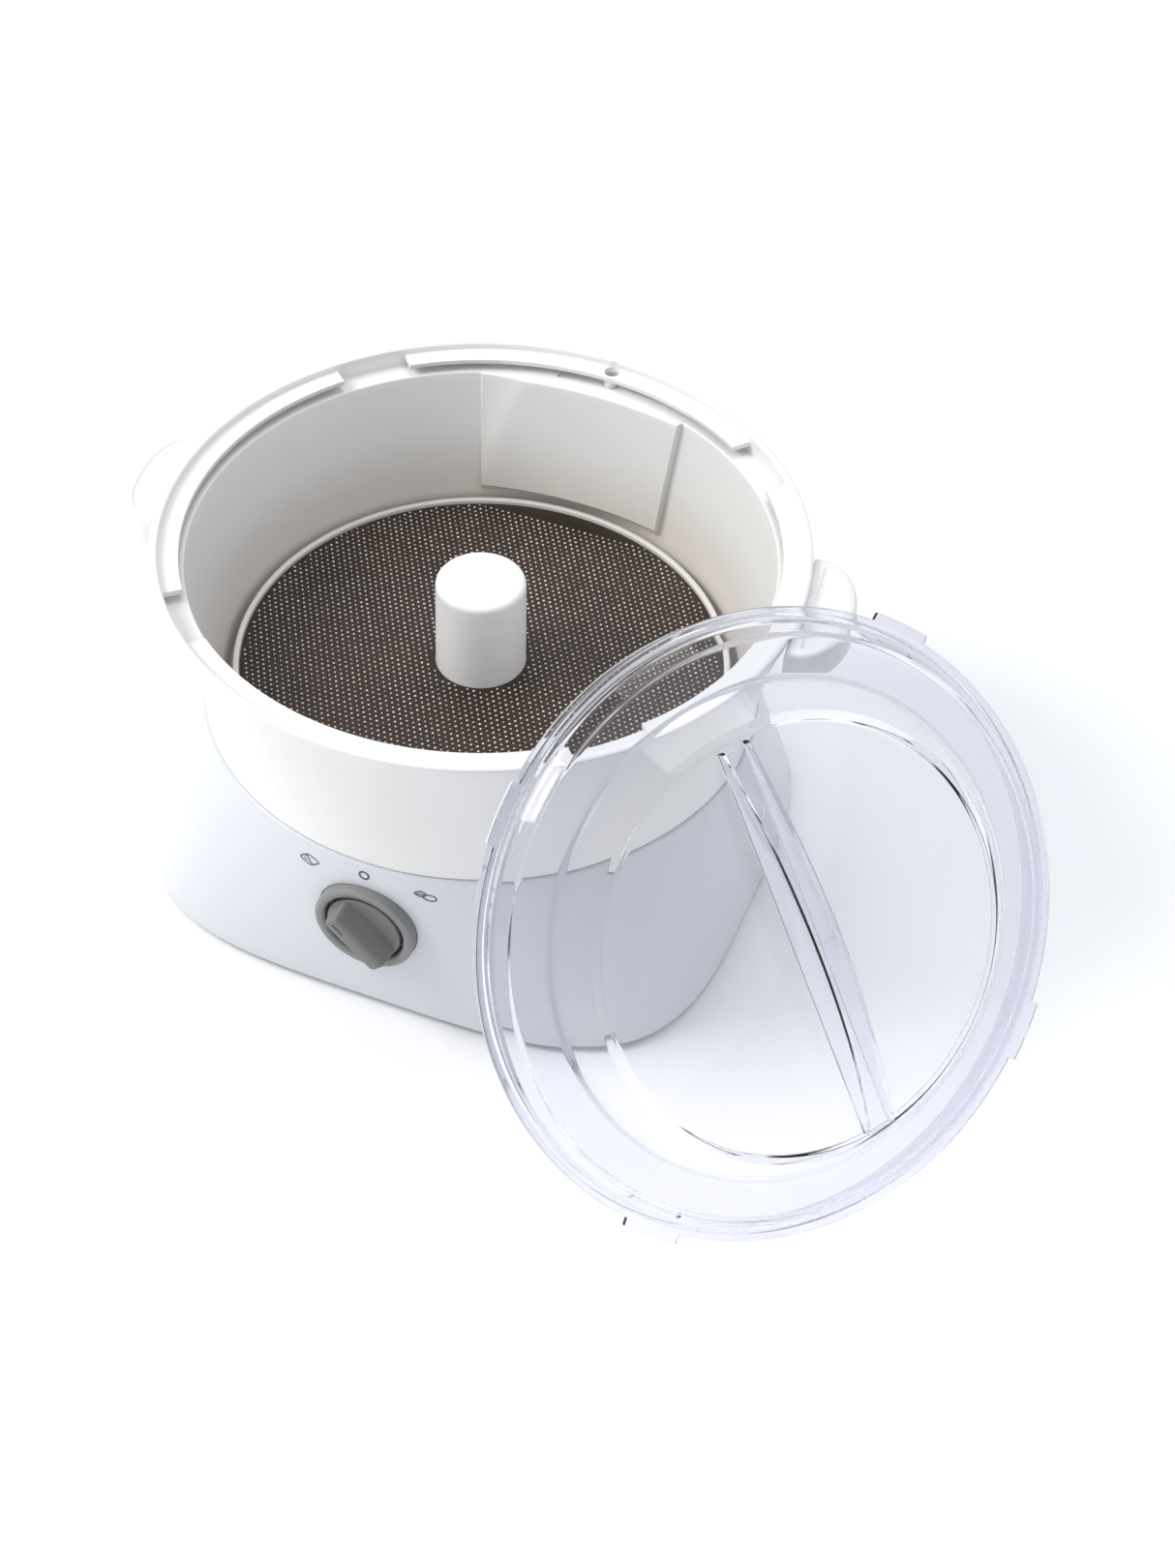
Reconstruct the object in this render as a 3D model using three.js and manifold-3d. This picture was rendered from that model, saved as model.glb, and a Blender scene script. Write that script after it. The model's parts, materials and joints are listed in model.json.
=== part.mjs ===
// Electric potato peeler with a salad-spinner setting: a rounded-square base with a belt drive,
// a lift-off drum with an abrasive disc in its bottom, a selector knob, and a clear bayonet lid
// that leans against the drum's rim. Millimetres, +Z up, knob on the -Y side.
// The origin is on the spindle's axis, in the plane of the base's underside; the feet reach below it.
import * as THREE from "three";
import { mergeVertices } from "three/addons/utils/BufferGeometryUtils.js";
import Module from "manifold-3d";

const wasm = await Module();
wasm.setup();

// ---- Driving dimensions ----
const GAP = 0.3; // clearance between pieces that touch or run past each other
const ROUND = 40; // steps around the large round pieces
const SMALL_ROUND = 16; // steps around the small round pieces

const FOOT_DROP = 3; // the feet stand this far below the underside

const BASE_HALF_WIDTH = 124; // along X, at the foot
const BASE_HALF_DEPTH = 113; // along Y, at the foot
const BASE_SQUARENESS = 3.8; // exponent of the foot's superellipse: 2 is round
const BASE_WALL = 3;
const NECK_RADIUS = 114; // round top of the base
const NECK_Z = 81;
const NECK_WALL = 5;
const DECK_DROP = 4; // the deck that the drum stands on lies this far below the neck's edge
const DECK_Z = NECK_Z - DECK_DROP;
const DECK_THICKNESS = 4;
const COVER_THICKNESS = 3;

const RIM_RADIUS = 130; // drum's outer rim
const DRUM_HEIGHT = 76; // rim above the neck's edge
const RIM_Z = NECK_Z + DRUM_HEIGHT;
const LIP_HEIGHT = 8; // rim above the lid's ledge
const LIP_WALL = 4.5;
const LEDGE_WIDTH = 9.5; // the ledge that the lid's flange lies on
const MOUTH_RADIUS = RIM_RADIUS - LIP_WALL - LEDGE_WIDTH;
const WELL_RADIUS = 103.5; // drum's inner wall at its floor
const DRUM_WALL = 2.6;
const SKIRT_STEP = 0.8; // the drum's outer wall starts this far in from the neck's
const SKIRT_FOOT_RADIUS = NECK_RADIUS - SKIRT_STEP;
const SLEEVE_BORE_RADIUS = 12; // drum's centre sleeve, around the spindle
const SLEEVE_HEIGHT = 29; // above the deck
const SLEEVE_TOP_Z = DECK_Z + SLEEVE_HEIGHT;
const LUG_COUNT = 4;
const LUG_GAP_DEGREES = 14; // entry notch between two bayonet lugs
const LUG_THICKNESS = 2.2;
const EAR_REACH = 18; // the ears stand out this far from the rim
const EAR_TURN_DEGREES = 5.5; // from the base's X axis
const EAR_HALF_WIDTH = 29;
const EAR_TOP_BELOW_RIM = 3;
const EAR_HEIGHT = 13;
const PANEL_HALF_ANGLE = 23; // raised panel on the inner back wall, degrees each side
const PANEL_THICKNESS = 3; // where it meets the wall
const PANEL_CROWN = 3.2; // further in at its middle, since the panel is flatter than the wall

const DISC_CLEARANCE = 2.5; // between the carrier plate and the well's wall
const DISC_RADIUS = WELL_RADIUS - DISC_CLEARANCE;
const DISC_LIFT = 13; // face that the abrasive sheet lies on, above the deck
const DISC_TOP_Z = DECK_Z + DISC_LIFT;
const CARRIER_THICKNESS = 3;
const CARRIER_RIM_WIDTH = 2.5;
const CARRIER_RIM_HEIGHT = 3;
const SHEET_THICKNESS = 1;
const POST_RADIUS = 18.4;
const POST_HEIGHT = 43; // above the disc's face
const POST_TOP_Z = DISC_TOP_Z + POST_HEIGHT;
const POST_WALL = 2.2;

const SPINDLE_RADIUS = 4;
const SPINDLE_BELOW_POST = 8;
const SPINDLE_TOP_Z = POST_TOP_Z - SPINDLE_BELOW_POST;
const HEX_PROUD = 1; // the hexagon's corners stand out this far from the spindle
const HEX_RADIUS = SPINDLE_RADIUS + HEX_PROUD;
const HEX_LENGTH = 12;
const BEARING_OUTER_RADIUS = 11;
const BEARING_WIDTH = 7;
const HOUSING_WALL = 4; // bearing housing
const HOUSING_FOOT_Z = 26;

const DRIVEN_PULLEY_RADIUS = 40;
const MOTOR_PULLEY_RADIUS = 8;
const PULLEY_Z = 8; // lower face of both pulleys
const PULLEY_WIDTH = 8;
const FLANGE_WIDTH = 1.2;
const FLANGE_PROUD = 1.8;
const BELT_WIDTH = 4;
const BELT_THICKNESS = 1.6;
const MOTOR_RADIUS = 24;
const MOTOR_FOOT_Z = 22;
const MOTOR_TOP_CLEARANCE = 15; // for the end cap and the fan, under the deck
const MOTOR_HEIGHT = DECK_Z - DECK_THICKNESS - MOTOR_TOP_CLEARANCE - MOTOR_FOOT_Z;
const MOTOR_SHAFT_RADIUS = 2.5;
const MOTOR_WALL = 1.8;

const KNOB_DROP = 34; // centre of the knob below the neck's edge
const KNOB_Z = NECK_Z - KNOB_DROP;
const BEZEL_RADIUS = 20.9;
const BEZEL_PROUD = 4;
const BEZEL_RING = 4; // radial width of the bezel's ring
const KNOB_FACE_GAP = 1.2; // dark ring between the bezel and the knob
const KNOB_GRIP_WIDTH = 9;
const KNOB_GRIP_HEIGHT = 10;
const KNOB_SHAFT_RADIUS = 3;
const KNOB_REST_DEGREES = 45; // the grip bar points up and to the left

const LID_OVERLAP = 0.5; // the lid's flange reaches this far past the drum's mouth
const LID_RADIUS = MOUTH_RADIUS + LID_OVERLAP;
const LID_WALL = 2.4;
const LID_RISE = 20; // raised disc above the flange
const LID_STEP_WIDTH = 23; // from the drum's mouth in to the cone's foot
const LID_STEP_RADIUS = MOUTH_RADIUS - LID_STEP_WIDTH;
const LID_CONE_WIDTH = 12;
const LID_DISC_RADIUS = LID_STEP_RADIUS - LID_CONE_WIDTH;
const LID_STEP_HEIGHT = 6;
const LID_PLUG_DEPTH = 10; // skirt that drops into the drum's mouth
const TAB_REACH = 3;
const TAB_DEGREES = 11;
const TAB_OFFSET_DEGREES = 50; // first tab, from the lid's own X axis
const HANDLE_WIDTH = 12;
const HANDLE_RISE = 19; // middle of the arch above the disc
const HANDLE_END_RISE = 4;
const HANDLE_TURN_DEGREES = 8; // from the lid's own Y axis
const LID_LEAN_DEGREES = 33.5; // lid's face above the horizontal line
const LID_TURN_DEGREES = 49.5; // lid's face, from the front towards +X
const LID_SIDEWAYS = 28; // lid's centre to the right of the leaning direction

const ROD_RADIUS = 1.6; // interlock rod, at the back of the drum
const ROD_FROM_MOUTH = 5.4; // its top, out from the drum's mouth
const ROD_TOP_RADIUS = MOUTH_RADIUS + ROD_FROM_MOUTH;
const ROD_FROM_NECK = 5.4; // its foot, in from the neck's outside
const ROD_FOOT_RADIUS = NECK_RADIUS - ROD_FROM_NECK;
const ROD_HEAD_RADIUS = 3;
const ROD_TRAVEL = 3;
const ROD_TURN_DEGREES = -4; // the rod stands at the right end of its slot

const SCREW_RADIUS = 1.6;
const SCREW_HEAD_RADIUS = 3.4;
const PILLAR_RADIUS = 5;
const PILLAR_X = 76;
const PILLAR_Y = 66;
const MOTOR_PILLAR_GAP = 1; // between the motor and the rear right pillar
const FOOT_RADIUS = 9;
const FOOT_INSET_X = 28; // from the base's edge in to the middle of a foot
const FOOT_INSET_Y = 29;
const FOOT_X = BASE_HALF_WIDTH - FOOT_INSET_X;
const FOOT_Y = BASE_HALF_DEPTH - FOOT_INSET_Y;
const VENT_COUNT = 6; // air slots in the bottom cover
const VENT_PITCH = 9;
const VENT_WIDTH = 4;
const VENT_LENGTH = 36;
const VENT_FROM_Y = 54;
const CORD_HOLE_RADIUS = 5;
const CORD_X = -60; // the cord's inlet, at the back of the base
const CORD_Z = 22;

// ---- Materials ----
const finish = (color, roughness, metalness = 0, extra = {}) =>
  new THREE.MeshStandardMaterial({ color, roughness, metalness, ...extra });
const whiteShell = finish(0xeeeef0, 0.28);
const whiteInner = finish(0xecebe6, 0.35);
const clearPlastic = finish(0xe6e6f4, 0.06, 0, { transparent: true, opacity: 0.3 });
const greyKnob = finish(0x7f7f7c, 0.45);
const greyBezel = finish(0x8e8e8b, 0.45);
const blackPlastic = finish(0x232325, 0.6);
const abrasive = finish(0x4a3d33, 0.75, 0.4);
const steel = finish(0xb9bcc0, 0.32, 1);
const darkSteel = finish(0x5b5e63, 0.45, 1);
const brass = finish(0xb08d57, 0.4, 1);
const rubber = finish(0x1b1b1c, 0.85);
const greenBoard = finish(0x2f5b3c, 0.6);

const root = new THREE.Group();
root.name = "potato_peeler";

function place(name, geometry, material, group = root) {
  const mesh = new THREE.Mesh(geometry, material);
  mesh.name = name;
  group.add(mesh);
  return mesh;
}

// ---- Solids ----
const radians = THREE.MathUtils.degToRad;

function solid(geometry) {
  const bare = geometry.index ? geometry.toNonIndexed() : geometry.clone();
  for (const name of ["normal", "uv"]) bare.deleteAttribute(name);
  const merged = mergeVertices(bare, 1e-4);
  return new wasm.Manifold(
    new wasm.Mesh({
      numProp: 3,
      vertProperties: new Float32Array(merged.attributes.position.array),
      triVerts: new Uint32Array(merged.index.array),
    }),
  );
}

function geometryOf(manifold) {
  const mesh = manifold.getMesh();
  const geometry = new THREE.BufferGeometry();
  geometry.setAttribute("position", new THREE.BufferAttribute(mesh.vertProperties, mesh.numProp));
  geometry.setIndex(new THREE.BufferAttribute(mesh.triVerts, 1));
  geometry.computeVertexNormals();
  return geometry;
}

function join(first, ...rest) {
  return geometryOf(rest.reduce((sum, part) => sum.add(solid(part)), solid(first)));
}

function cut(body, ...tools) {
  return geometryOf(tools.reduce((left, tool) => left.subtract(solid(tool)), solid(body)));
}

// Turns an outline of [radius, z] pairs, listed from the foot up the outside and back down the
// inside, about the Z axis.
function turned(outline, steps = ROUND) {
  const points = outline.map(([radius, z]) => new THREE.Vector2(radius, z));
  if (points[0].x > 0) points.push(points[0].clone());
  return new THREE.LatheGeometry(points, steps).rotateX(Math.PI / 2);
}

function cylinder(radius, z0, z1, steps = SMALL_ROUND) {
  return turned([[0, z0], [radius, z0], [radius, z1], [0, z1]], steps);
}

function tube(outer, inner, z0, z1, steps = SMALL_ROUND) {
  return turned([[inner, z0], [outer, z0], [outer, z1], [inner, z1]], steps);
}

function prism(points, z0, z1) {
  const shape = new THREE.Shape(points.map(([x, y]) => new THREE.Vector2(x, y)));
  const geometry = new THREE.ExtrudeGeometry(shape, { depth: z1 - z0, bevelEnabled: false });
  return geometry.translate(0, 0, z0);
}

function box(x0, x1, y0, y1, z0, z1) {
  return prism([[x0, y0], [x1, y0], [x1, y1], [x0, y1]], z0, z1);
}

// Part of a ring between two radii, from one angle to another (degrees).
function ringSector(outer, inner, fromDegrees, toDegrees, z0, z1, steps = 12) {
  const arc = (radius, from, to) =>
    Array.from({ length: steps + 1 }, (_, i) => {
      const angle = radians(from + ((to - from) * i) / steps);
      return [radius * Math.cos(angle), radius * Math.sin(angle)];
    });
  const outline = [...arc(outer, fromDegrees, toDegrees), ...arc(inner, toDegrees, fromDegrees)];
  return prism(outline, z0, z1);
}

function hexagon(radius, z0, z1) {
  const corners = Array.from({ length: 6 }, (_, i) => {
    const angle = radians(60 * i);
    return [radius * Math.cos(angle), radius * Math.sin(angle)];
  });
  return prism(corners, z0, z1);
}

// ---- Base housing: one moulded shell, round at the neck and a soft square at the foot ----
function planFactor(angle) {
  const across = Math.abs(Math.cos(angle)) ** BASE_SQUARENESS;
  const along = Math.abs((Math.sin(angle) * BASE_HALF_WIDTH) / BASE_HALF_DEPTH) ** BASE_SQUARENESS;
  return (across + along) ** (-1 / BASE_SQUARENESS);
}

function baseRadius(z) {
  const share = THREE.MathUtils.clamp((NECK_Z - z) / NECK_Z, 0, 1);
  return NECK_RADIUS + (BASE_HALF_WIDTH - NECK_RADIUS) * share;
}

// How much further out than its X axis radius the shell stands, at an angle and a height.
function flare(angle, z) {
  const share = THREE.MathUtils.clamp((NECK_Z - z) / NECK_Z, 0, 1);
  return 1 + share * (planFactor(angle) - 1);
}

function squareOff(geometry) {
  const position = geometry.attributes.position;
  for (let i = 0; i < position.count; i++) {
    const [x, y, z] = [position.getX(i), position.getY(i), position.getZ(i)];
    const factor = flare(Math.atan2(y, x), z);
    position.setXY(i, x * factor, y * factor);
  }
  return geometry;
}

const levels = (from, to, count) => Array.from({ length: count }, (_, i) => from + ((to - from) * i) / (count - 1));
const neckInner = NECK_RADIUS - NECK_WALL;
const deckFoot = DECK_Z - DECK_THICKNESS;
const WALL_LEVELS = [0, 6, ...levels(24, deckFoot - 13, 3)];

function housingBlank() {
  const outside = WALL_LEVELS.map((z) => [baseRadius(z), z]);
  const outline = [
    [0, 0],
    ...outside,
    [NECK_RADIUS, NECK_Z - 1],
    [NECK_RADIUS - 1, NECK_Z],
    [neckInner, NECK_Z],
    [neckInner, DECK_Z],
    [0, DECK_Z],
  ];
  return squareOff(turned(outline));
}

function housingHollow() {
  const inside = [-1, ...WALL_LEVELS.slice(1)].map((z) => [baseRadius(z) - BASE_WALL, z]);
  const outline = [[0, -1], ...inside, [neckInner, deckFoot], [0, deckFoot]];
  return squareOff(turned(outline));
}

const knobFaceY = -baseRadius(KNOB_Z) * flare(Math.PI / 2, KNOB_Z);
const panelLean = Math.atan2(BASE_HALF_DEPTH - NECK_RADIUS, NECK_Z); // front face from upright
const panelGroup = new THREE.Group(); // its local +Z points out of the front face at the knob
panelGroup.position.set(0, knobFaceY, KNOB_Z);
panelGroup.rotation.x = Math.PI / 2 - panelLean;
root.add(panelGroup);
panelGroup.updateMatrix();

const corners = (x, y) => [[-x, -y], [x, -y], [x, y], [-x, y]];
const housingTubeOuter = BEARING_OUTER_RADIUS + HOUSING_WALL;
const panelHole = cylinder(BEZEL_RADIUS + GAP, -12, 12, 24).applyMatrix4(panelGroup.matrix);
const cordHole = cylinder(CORD_HOLE_RADIUS + 2 + GAP, 0, 60)
  .rotateX(-Math.PI / 2)
  .translate(CORD_X, BASE_HALF_DEPTH - 40, CORD_Z);
const pillars = corners(PILLAR_X, PILLAR_Y).map(([x, y]) =>
  tube(PILLAR_RADIUS, SCREW_RADIUS + GAP, COVER_THICKNESS + GAP, DECK_Z - 1).translate(x, y, 0),
);
const shell = cut(housingBlank(), housingHollow(), panelHole, cordHole);
const shellWithPillars = pillars.reduce((body, pillar) => join(body, pillar), shell);
place(
  "base_housing",
  cut(shellWithPillars, cylinder(housingTubeOuter + GAP, deckFoot - 5, DECK_Z + 5, 20)),
  whiteShell,
);

// ---- Bottom cover, its screws and the feet ----
const coverOutline = Array.from({ length: ROUND }, (_, i) => {
  const angle = (2 * Math.PI * i) / ROUND;
  const inside = baseRadius(COVER_THICKNESS) - BASE_WALL - 2 * GAP;
  const radius = inside * flare(angle, COVER_THICKNESS);
  return [radius * Math.cos(angle), radius * Math.sin(angle)];
});
const coverScrewHoles = corners(PILLAR_X, PILLAR_Y).map(([x, y]) =>
  turned(
    [[0, -1], [SCREW_HEAD_RADIUS + GAP, -1], [SCREW_HEAD_RADIUS + GAP, 1.5], [SCREW_RADIUS + GAP, 1.5],
      [SCREW_RADIUS + GAP, 5], [0, 5]],
    12,
  ).translate(x, y, 0),
);
const footHoles = corners(FOOT_X, FOOT_Y).map(([x, y]) =>
  cylinder(FOOT_RADIUS / 2 + GAP, -1, 5, 12).translate(x, y, 0),
);
const ventSlots = Array.from({ length: VENT_COUNT }, (_, i) => {
  const x = (i - (VENT_COUNT - 1) / 2) * VENT_PITCH;
  return box(x - VENT_WIDTH / 2, x + VENT_WIDTH / 2, VENT_FROM_Y, VENT_FROM_Y + VENT_LENGTH, -1, 5);
});
place(
  "bottom_cover",
  cut(prism(coverOutline, 0, COVER_THICKNESS), ...coverScrewHoles, ...footHoles, ...ventSlots),
  whiteShell,
);
const CORNER_NAMES = ["front_left", "front_right", "rear_right", "rear_left"];
corners(PILLAR_X, PILLAR_Y).forEach(([x, y], i) => {
  const screw = turned(
    [[0, 0.2], [SCREW_HEAD_RADIUS, 0.2], [SCREW_HEAD_RADIUS, 1.2], [SCREW_RADIUS, 1.2], [SCREW_RADIUS, 16], [0, 16]],
    12,
  );
  place(`cover_screw_${CORNER_NAMES[i]}`, screw.translate(x, y, 0), steel);
});
corners(FOOT_X, FOOT_Y).forEach(([x, y], i) => {
  const foot = turned(
    [[0, -FOOT_DROP], [FOOT_RADIUS - 1, -FOOT_DROP], [FOOT_RADIUS, 1 - FOOT_DROP], [FOOT_RADIUS, -GAP],
      [FOOT_RADIUS / 2, -GAP], [FOOT_RADIUS / 2, COVER_THICKNESS - 0.5], [0, COVER_THICKNESS - 0.5]],
    SMALL_ROUND,
  );
  place(`foot_${CORNER_NAMES[i]}`, foot.translate(x, y, 0), rubber);
});

// ---- Cord inlet: an empty gland at the back ----
const gland = turned([
  [CORD_HOLE_RADIUS, -4], [CORD_HOLE_RADIUS + 2, -4], [CORD_HOLE_RADIUS + 2, 3], [CORD_HOLE_RADIUS + 5, 3],
  [CORD_HOLE_RADIUS + 5, 5.5], [CORD_HOLE_RADIUS, 5.5],
], SMALL_ROUND);
const cordRadius = baseRadius(CORD_Z) * flare(Math.atan2(BASE_HALF_DEPTH, CORD_X), CORD_Z);
const cordFaceY = Math.sqrt(cordRadius ** 2 - CORD_X ** 2);
place("cord_inlet", gland.rotateX(-Math.PI / 2).translate(CORD_X, cordFaceY + 1, CORD_Z), blackPlastic);

// ---- Bearing housing, bearings and seal ----
const tubeTop = DECK_Z;
const housingFlange = tube(housingTubeOuter + 9, housingTubeOuter - 1, deckFoot - GAP - 4, deckFoot - GAP, 20);
const housingTube = turned(
  [[BEARING_OUTER_RADIUS + GAP, HOUSING_FOOT_Z], [housingTubeOuter, HOUSING_FOOT_Z], [housingTubeOuter, tubeTop],
    [BEARING_OUTER_RADIUS - 3, tubeTop], [BEARING_OUTER_RADIUS - 3, tubeTop - 2],
    [BEARING_OUTER_RADIUS + GAP, tubeTop - 2]],
  20,
);
place("bearing_housing", join(housingTube, housingFlange), darkSteel);
const bearing = (z) => tube(BEARING_OUTER_RADIUS, SPINDLE_RADIUS + GAP, z, z + BEARING_WIDTH, 20);
place("lower_bearing", bearing(HOUSING_FOOT_Z + 1), steel);
place("upper_bearing", bearing(tubeTop - 2 - GAP - BEARING_WIDTH), steel);
const sealTop = tubeTop + 4;
const seal = turned([
  [SPINDLE_RADIUS + GAP, tubeTop + GAP], [SLEEVE_BORE_RADIUS - 1, tubeTop + GAP],
  [SLEEVE_BORE_RADIUS - 1, tubeTop + 2], [SPINDLE_RADIUS + 2, sealTop], [SPINDLE_RADIUS + GAP, sealTop],
], SMALL_ROUND);
place("shaft_seal", seal, rubber);

// ---- Spindle with its pulley and clip ----
const spindleFoot = PULLEY_Z - 2.5;
const shank = turned(
  [[0, spindleFoot], [SPINDLE_RADIUS, spindleFoot], [SPINDLE_RADIUS, SPINDLE_TOP_Z - HEX_LENGTH],
    [0, SPINDLE_TOP_Z - HEX_LENGTH]],
  SMALL_ROUND,
);
place("drive_spindle", join(shank, hexagon(HEX_RADIUS, SPINDLE_TOP_Z - HEX_LENGTH - 1, SPINDLE_TOP_Z)), steel);

function pulley(radius, bore, steps) {
  const top = PULLEY_Z + PULLEY_WIDTH;
  return turned(
    [[bore, PULLEY_Z], [radius + FLANGE_PROUD, PULLEY_Z], [radius + FLANGE_PROUD, PULLEY_Z + FLANGE_WIDTH],
      [radius, PULLEY_Z + FLANGE_WIDTH], [radius, top - FLANGE_WIDTH],
      [radius + FLANGE_PROUD, top - FLANGE_WIDTH], [radius + FLANGE_PROUD, top], [bore, top]],
    steps,
  );
}
const windows = [0, 60, 120, 180, 240, 300].map((angle) =>
  cylinder(8, PULLEY_Z - 1, PULLEY_Z + PULLEY_WIDTH + 1, 10)
    .translate(DRIVEN_PULLEY_RADIUS * 0.58, 0, 0)
    .rotateZ(radians(angle)),
);
place("driven_pulley", cut(pulley(DRIVEN_PULLEY_RADIUS, SPINDLE_RADIUS + GAP, 32), ...windows), blackPlastic);
const clipZ = PULLEY_Z + PULLEY_WIDTH + 2;
place("retaining_clip", tube(SPINDLE_RADIUS + 4, SPINDLE_RADIUS + GAP, clipZ, clipZ + 1.2), steel);

// ---- Motor: it stands inwards of the rear right pillar ----
const motorToPillar = MOTOR_RADIUS + PILLAR_RADIUS + MOTOR_PILLAR_GAP;
const motorX = PILLAR_X - 0.6 * motorToPillar;
const motorY = PILLAR_Y - 0.8 * motorToPillar;
const motor = new THREE.Group();
motor.position.set(motorX, motorY, 0);
root.add(motor);
const motorTop = MOTOR_FOOT_Z + MOTOR_HEIGHT;
const shaftClear = MOTOR_SHAFT_RADIUS + GAP;
const can = turned(
  [[shaftClear, MOTOR_FOOT_Z], [MOTOR_RADIUS, MOTOR_FOOT_Z], [MOTOR_RADIUS, motorTop],
    [MOTOR_RADIUS - MOTOR_WALL, motorTop], [MOTOR_RADIUS - MOTOR_WALL, MOTOR_FOOT_Z + 2],
    [shaftClear, MOTOR_FOOT_Z + 2]],
  24,
);
place("motor_can", can, steel, motor);
const cap = turned(
  [[shaftClear, motorTop + GAP], [MOTOR_RADIUS, motorTop + GAP], [MOTOR_RADIUS, motorTop + 3],
    [shaftClear, motorTop + 3]],
  24,
);
place("motor_end_cap", cap, darkSteel, motor);
const armature = turned([
  [0, PULLEY_Z - 1], [MOTOR_SHAFT_RADIUS, PULLEY_Z - 1], [MOTOR_SHAFT_RADIUS, MOTOR_FOOT_Z + 5],
  [MOTOR_RADIUS - 6, MOTOR_FOOT_Z + 5], [MOTOR_RADIUS - 6, motorTop - 6], [MOTOR_SHAFT_RADIUS, motorTop - 6],
  [MOTOR_SHAFT_RADIUS, motorTop + 9], [0, motorTop + 9],
], SMALL_ROUND);
place("motor_rotor", armature, brass, motor);
place("motor_pulley", pulley(MOTOR_PULLEY_RADIUS, shaftClear, SMALL_ROUND), blackPlastic, motor);
const FAN_BLADES = 7;
const fanFoot = motorTop + 3 + 2 * GAP;
const fanHub = tube(6, shaftClear, fanFoot, fanFoot + 5, SMALL_ROUND);
const blades = Array.from({ length: FAN_BLADES }, (_, i) =>
  box(5, MOTOR_RADIUS - 5, -0.8, 0.8, fanFoot, fanFoot + 5).rotateZ((2 * Math.PI * i) / FAN_BLADES),
);
place("motor_fan", join(fanHub, ...blades), blackPlastic, motor);

// The bracket is a plate under the motor, held up from the deck by two long screws.
const bracketTop = MOTOR_FOOT_Z - GAP;
const bracketHalf = MOTOR_RADIUS + 7;
const bracket = cut(
  box(-bracketHalf, bracketHalf, -11, 11, bracketTop - 2, bracketTop),
  cylinder(9, 0, 40),
  ...[-1, 1].map((side) => cylinder(2 + GAP, 0, 40, 12).translate(side * (bracketHalf - 4), 0, 0)),
);
place("motor_bracket", bracket.rotateZ(radians(-60)), darkSteel, motor);
[-1, 1].forEach((side, i) => {
  const screw = turned(
    [[0, bracketTop - 4], [3.5, bracketTop - 4], [3.5, bracketTop - 2 - GAP], [2, bracketTop - 2 - GAP],
      [2, deckFoot - GAP], [0, deckFoot - GAP]],
    12,
  );
  const post = screw.translate(side * (bracketHalf - 4), 0, 0).rotateZ(radians(-60));
  place(`motor_screw_${i + 1}`, post, steel, motor);
});

// ---- Drive belt: round both pulleys, running clear of them ----
function beltOutline(extra) {
  const span = Math.hypot(motorX, motorY);
  const heading = Math.atan2(motorY, motorX);
  const big = DRIVEN_PULLEY_RADIUS + extra;
  const small = MOTOR_PULLEY_RADIUS + extra;
  const tangent = Math.acos((big - small) / span);
  const points = [];
  const arc = (cx, cy, radius, from, to, steps) => {
    for (let i = 0; i <= steps; i++) {
      const angle = heading + from + ((to - from) * i) / steps;
      points.push([cx + radius * Math.cos(angle), cy + radius * Math.sin(angle)]);
    }
  };
  arc(motorX, motorY, small, -tangent, tangent, 10);
  arc(0, 0, big, tangent, 2 * Math.PI - tangent, 30);
  return points;
}
const beltZ = PULLEY_Z + (PULLEY_WIDTH - BELT_WIDTH) / 2;
const beltGap = 2 * GAP;
place(
  "drive_belt",
  cut(
    prism(beltOutline(beltGap + BELT_THICKNESS), beltZ, beltZ + BELT_WIDTH),
    prism(beltOutline(beltGap), beltZ - 1, beltZ + BELT_WIDTH + 1),
  ),
  rubber,
);

// ---- Drum ----
const ledgeZ = RIM_Z - LIP_HEIGHT;
const drumFoot = DECK_Z + GAP;
const floorTop = drumFoot + DRUM_WALL;
const lipInner = RIM_RADIUS - LIP_WALL;

// Outer wall, from the neck up to the rim, with the flare of the moulding.
function skirtRadius(z) {
  const share = (z - NECK_Z) / (RIM_Z - NECK_Z);
  return SKIRT_FOOT_RADIUS + (RIM_RADIUS - SKIRT_FOOT_RADIUS) * share ** 1.8;
}

function wellRadius(z) {
  const share = (z - floorTop) / (ledgeZ - floorTop);
  return WELL_RADIUS + (MOUTH_RADIUS - WELL_RADIUS) * share ** 1.2;
}

const skirtFoot = NECK_Z + GAP;
const voidTop = ledgeZ - DRUM_WALL;
const drumOutline = [
  [SLEEVE_BORE_RADIUS, drumFoot],
  [WELL_RADIUS + DRUM_WALL, drumFoot],
  ...levels(drumFoot + 20, voidTop, 3).map((z) => [wellRadius(z) + DRUM_WALL, z]),
  ...levels(voidTop, skirtFoot, 5).map((z) => [skirtRadius(z) - DRUM_WALL, z]),
  ...levels(skirtFoot, RIM_Z - 1.5, 8).map((z) => [skirtRadius(z), z]),
  [RIM_RADIUS - 1.2, RIM_Z],
  [lipInner + 1, RIM_Z],
  [lipInner, RIM_Z - 1],
  [lipInner, ledgeZ],
  ...levels(ledgeZ, floorTop, 5).map((z) => [wellRadius(z), z]),
  [SLEEVE_BORE_RADIUS + DRUM_WALL, floorTop],
  [SLEEVE_BORE_RADIUS + DRUM_WALL, SLEEVE_TOP_Z],
  [SLEEVE_BORE_RADIUS, SLEEVE_TOP_Z],
];

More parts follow.
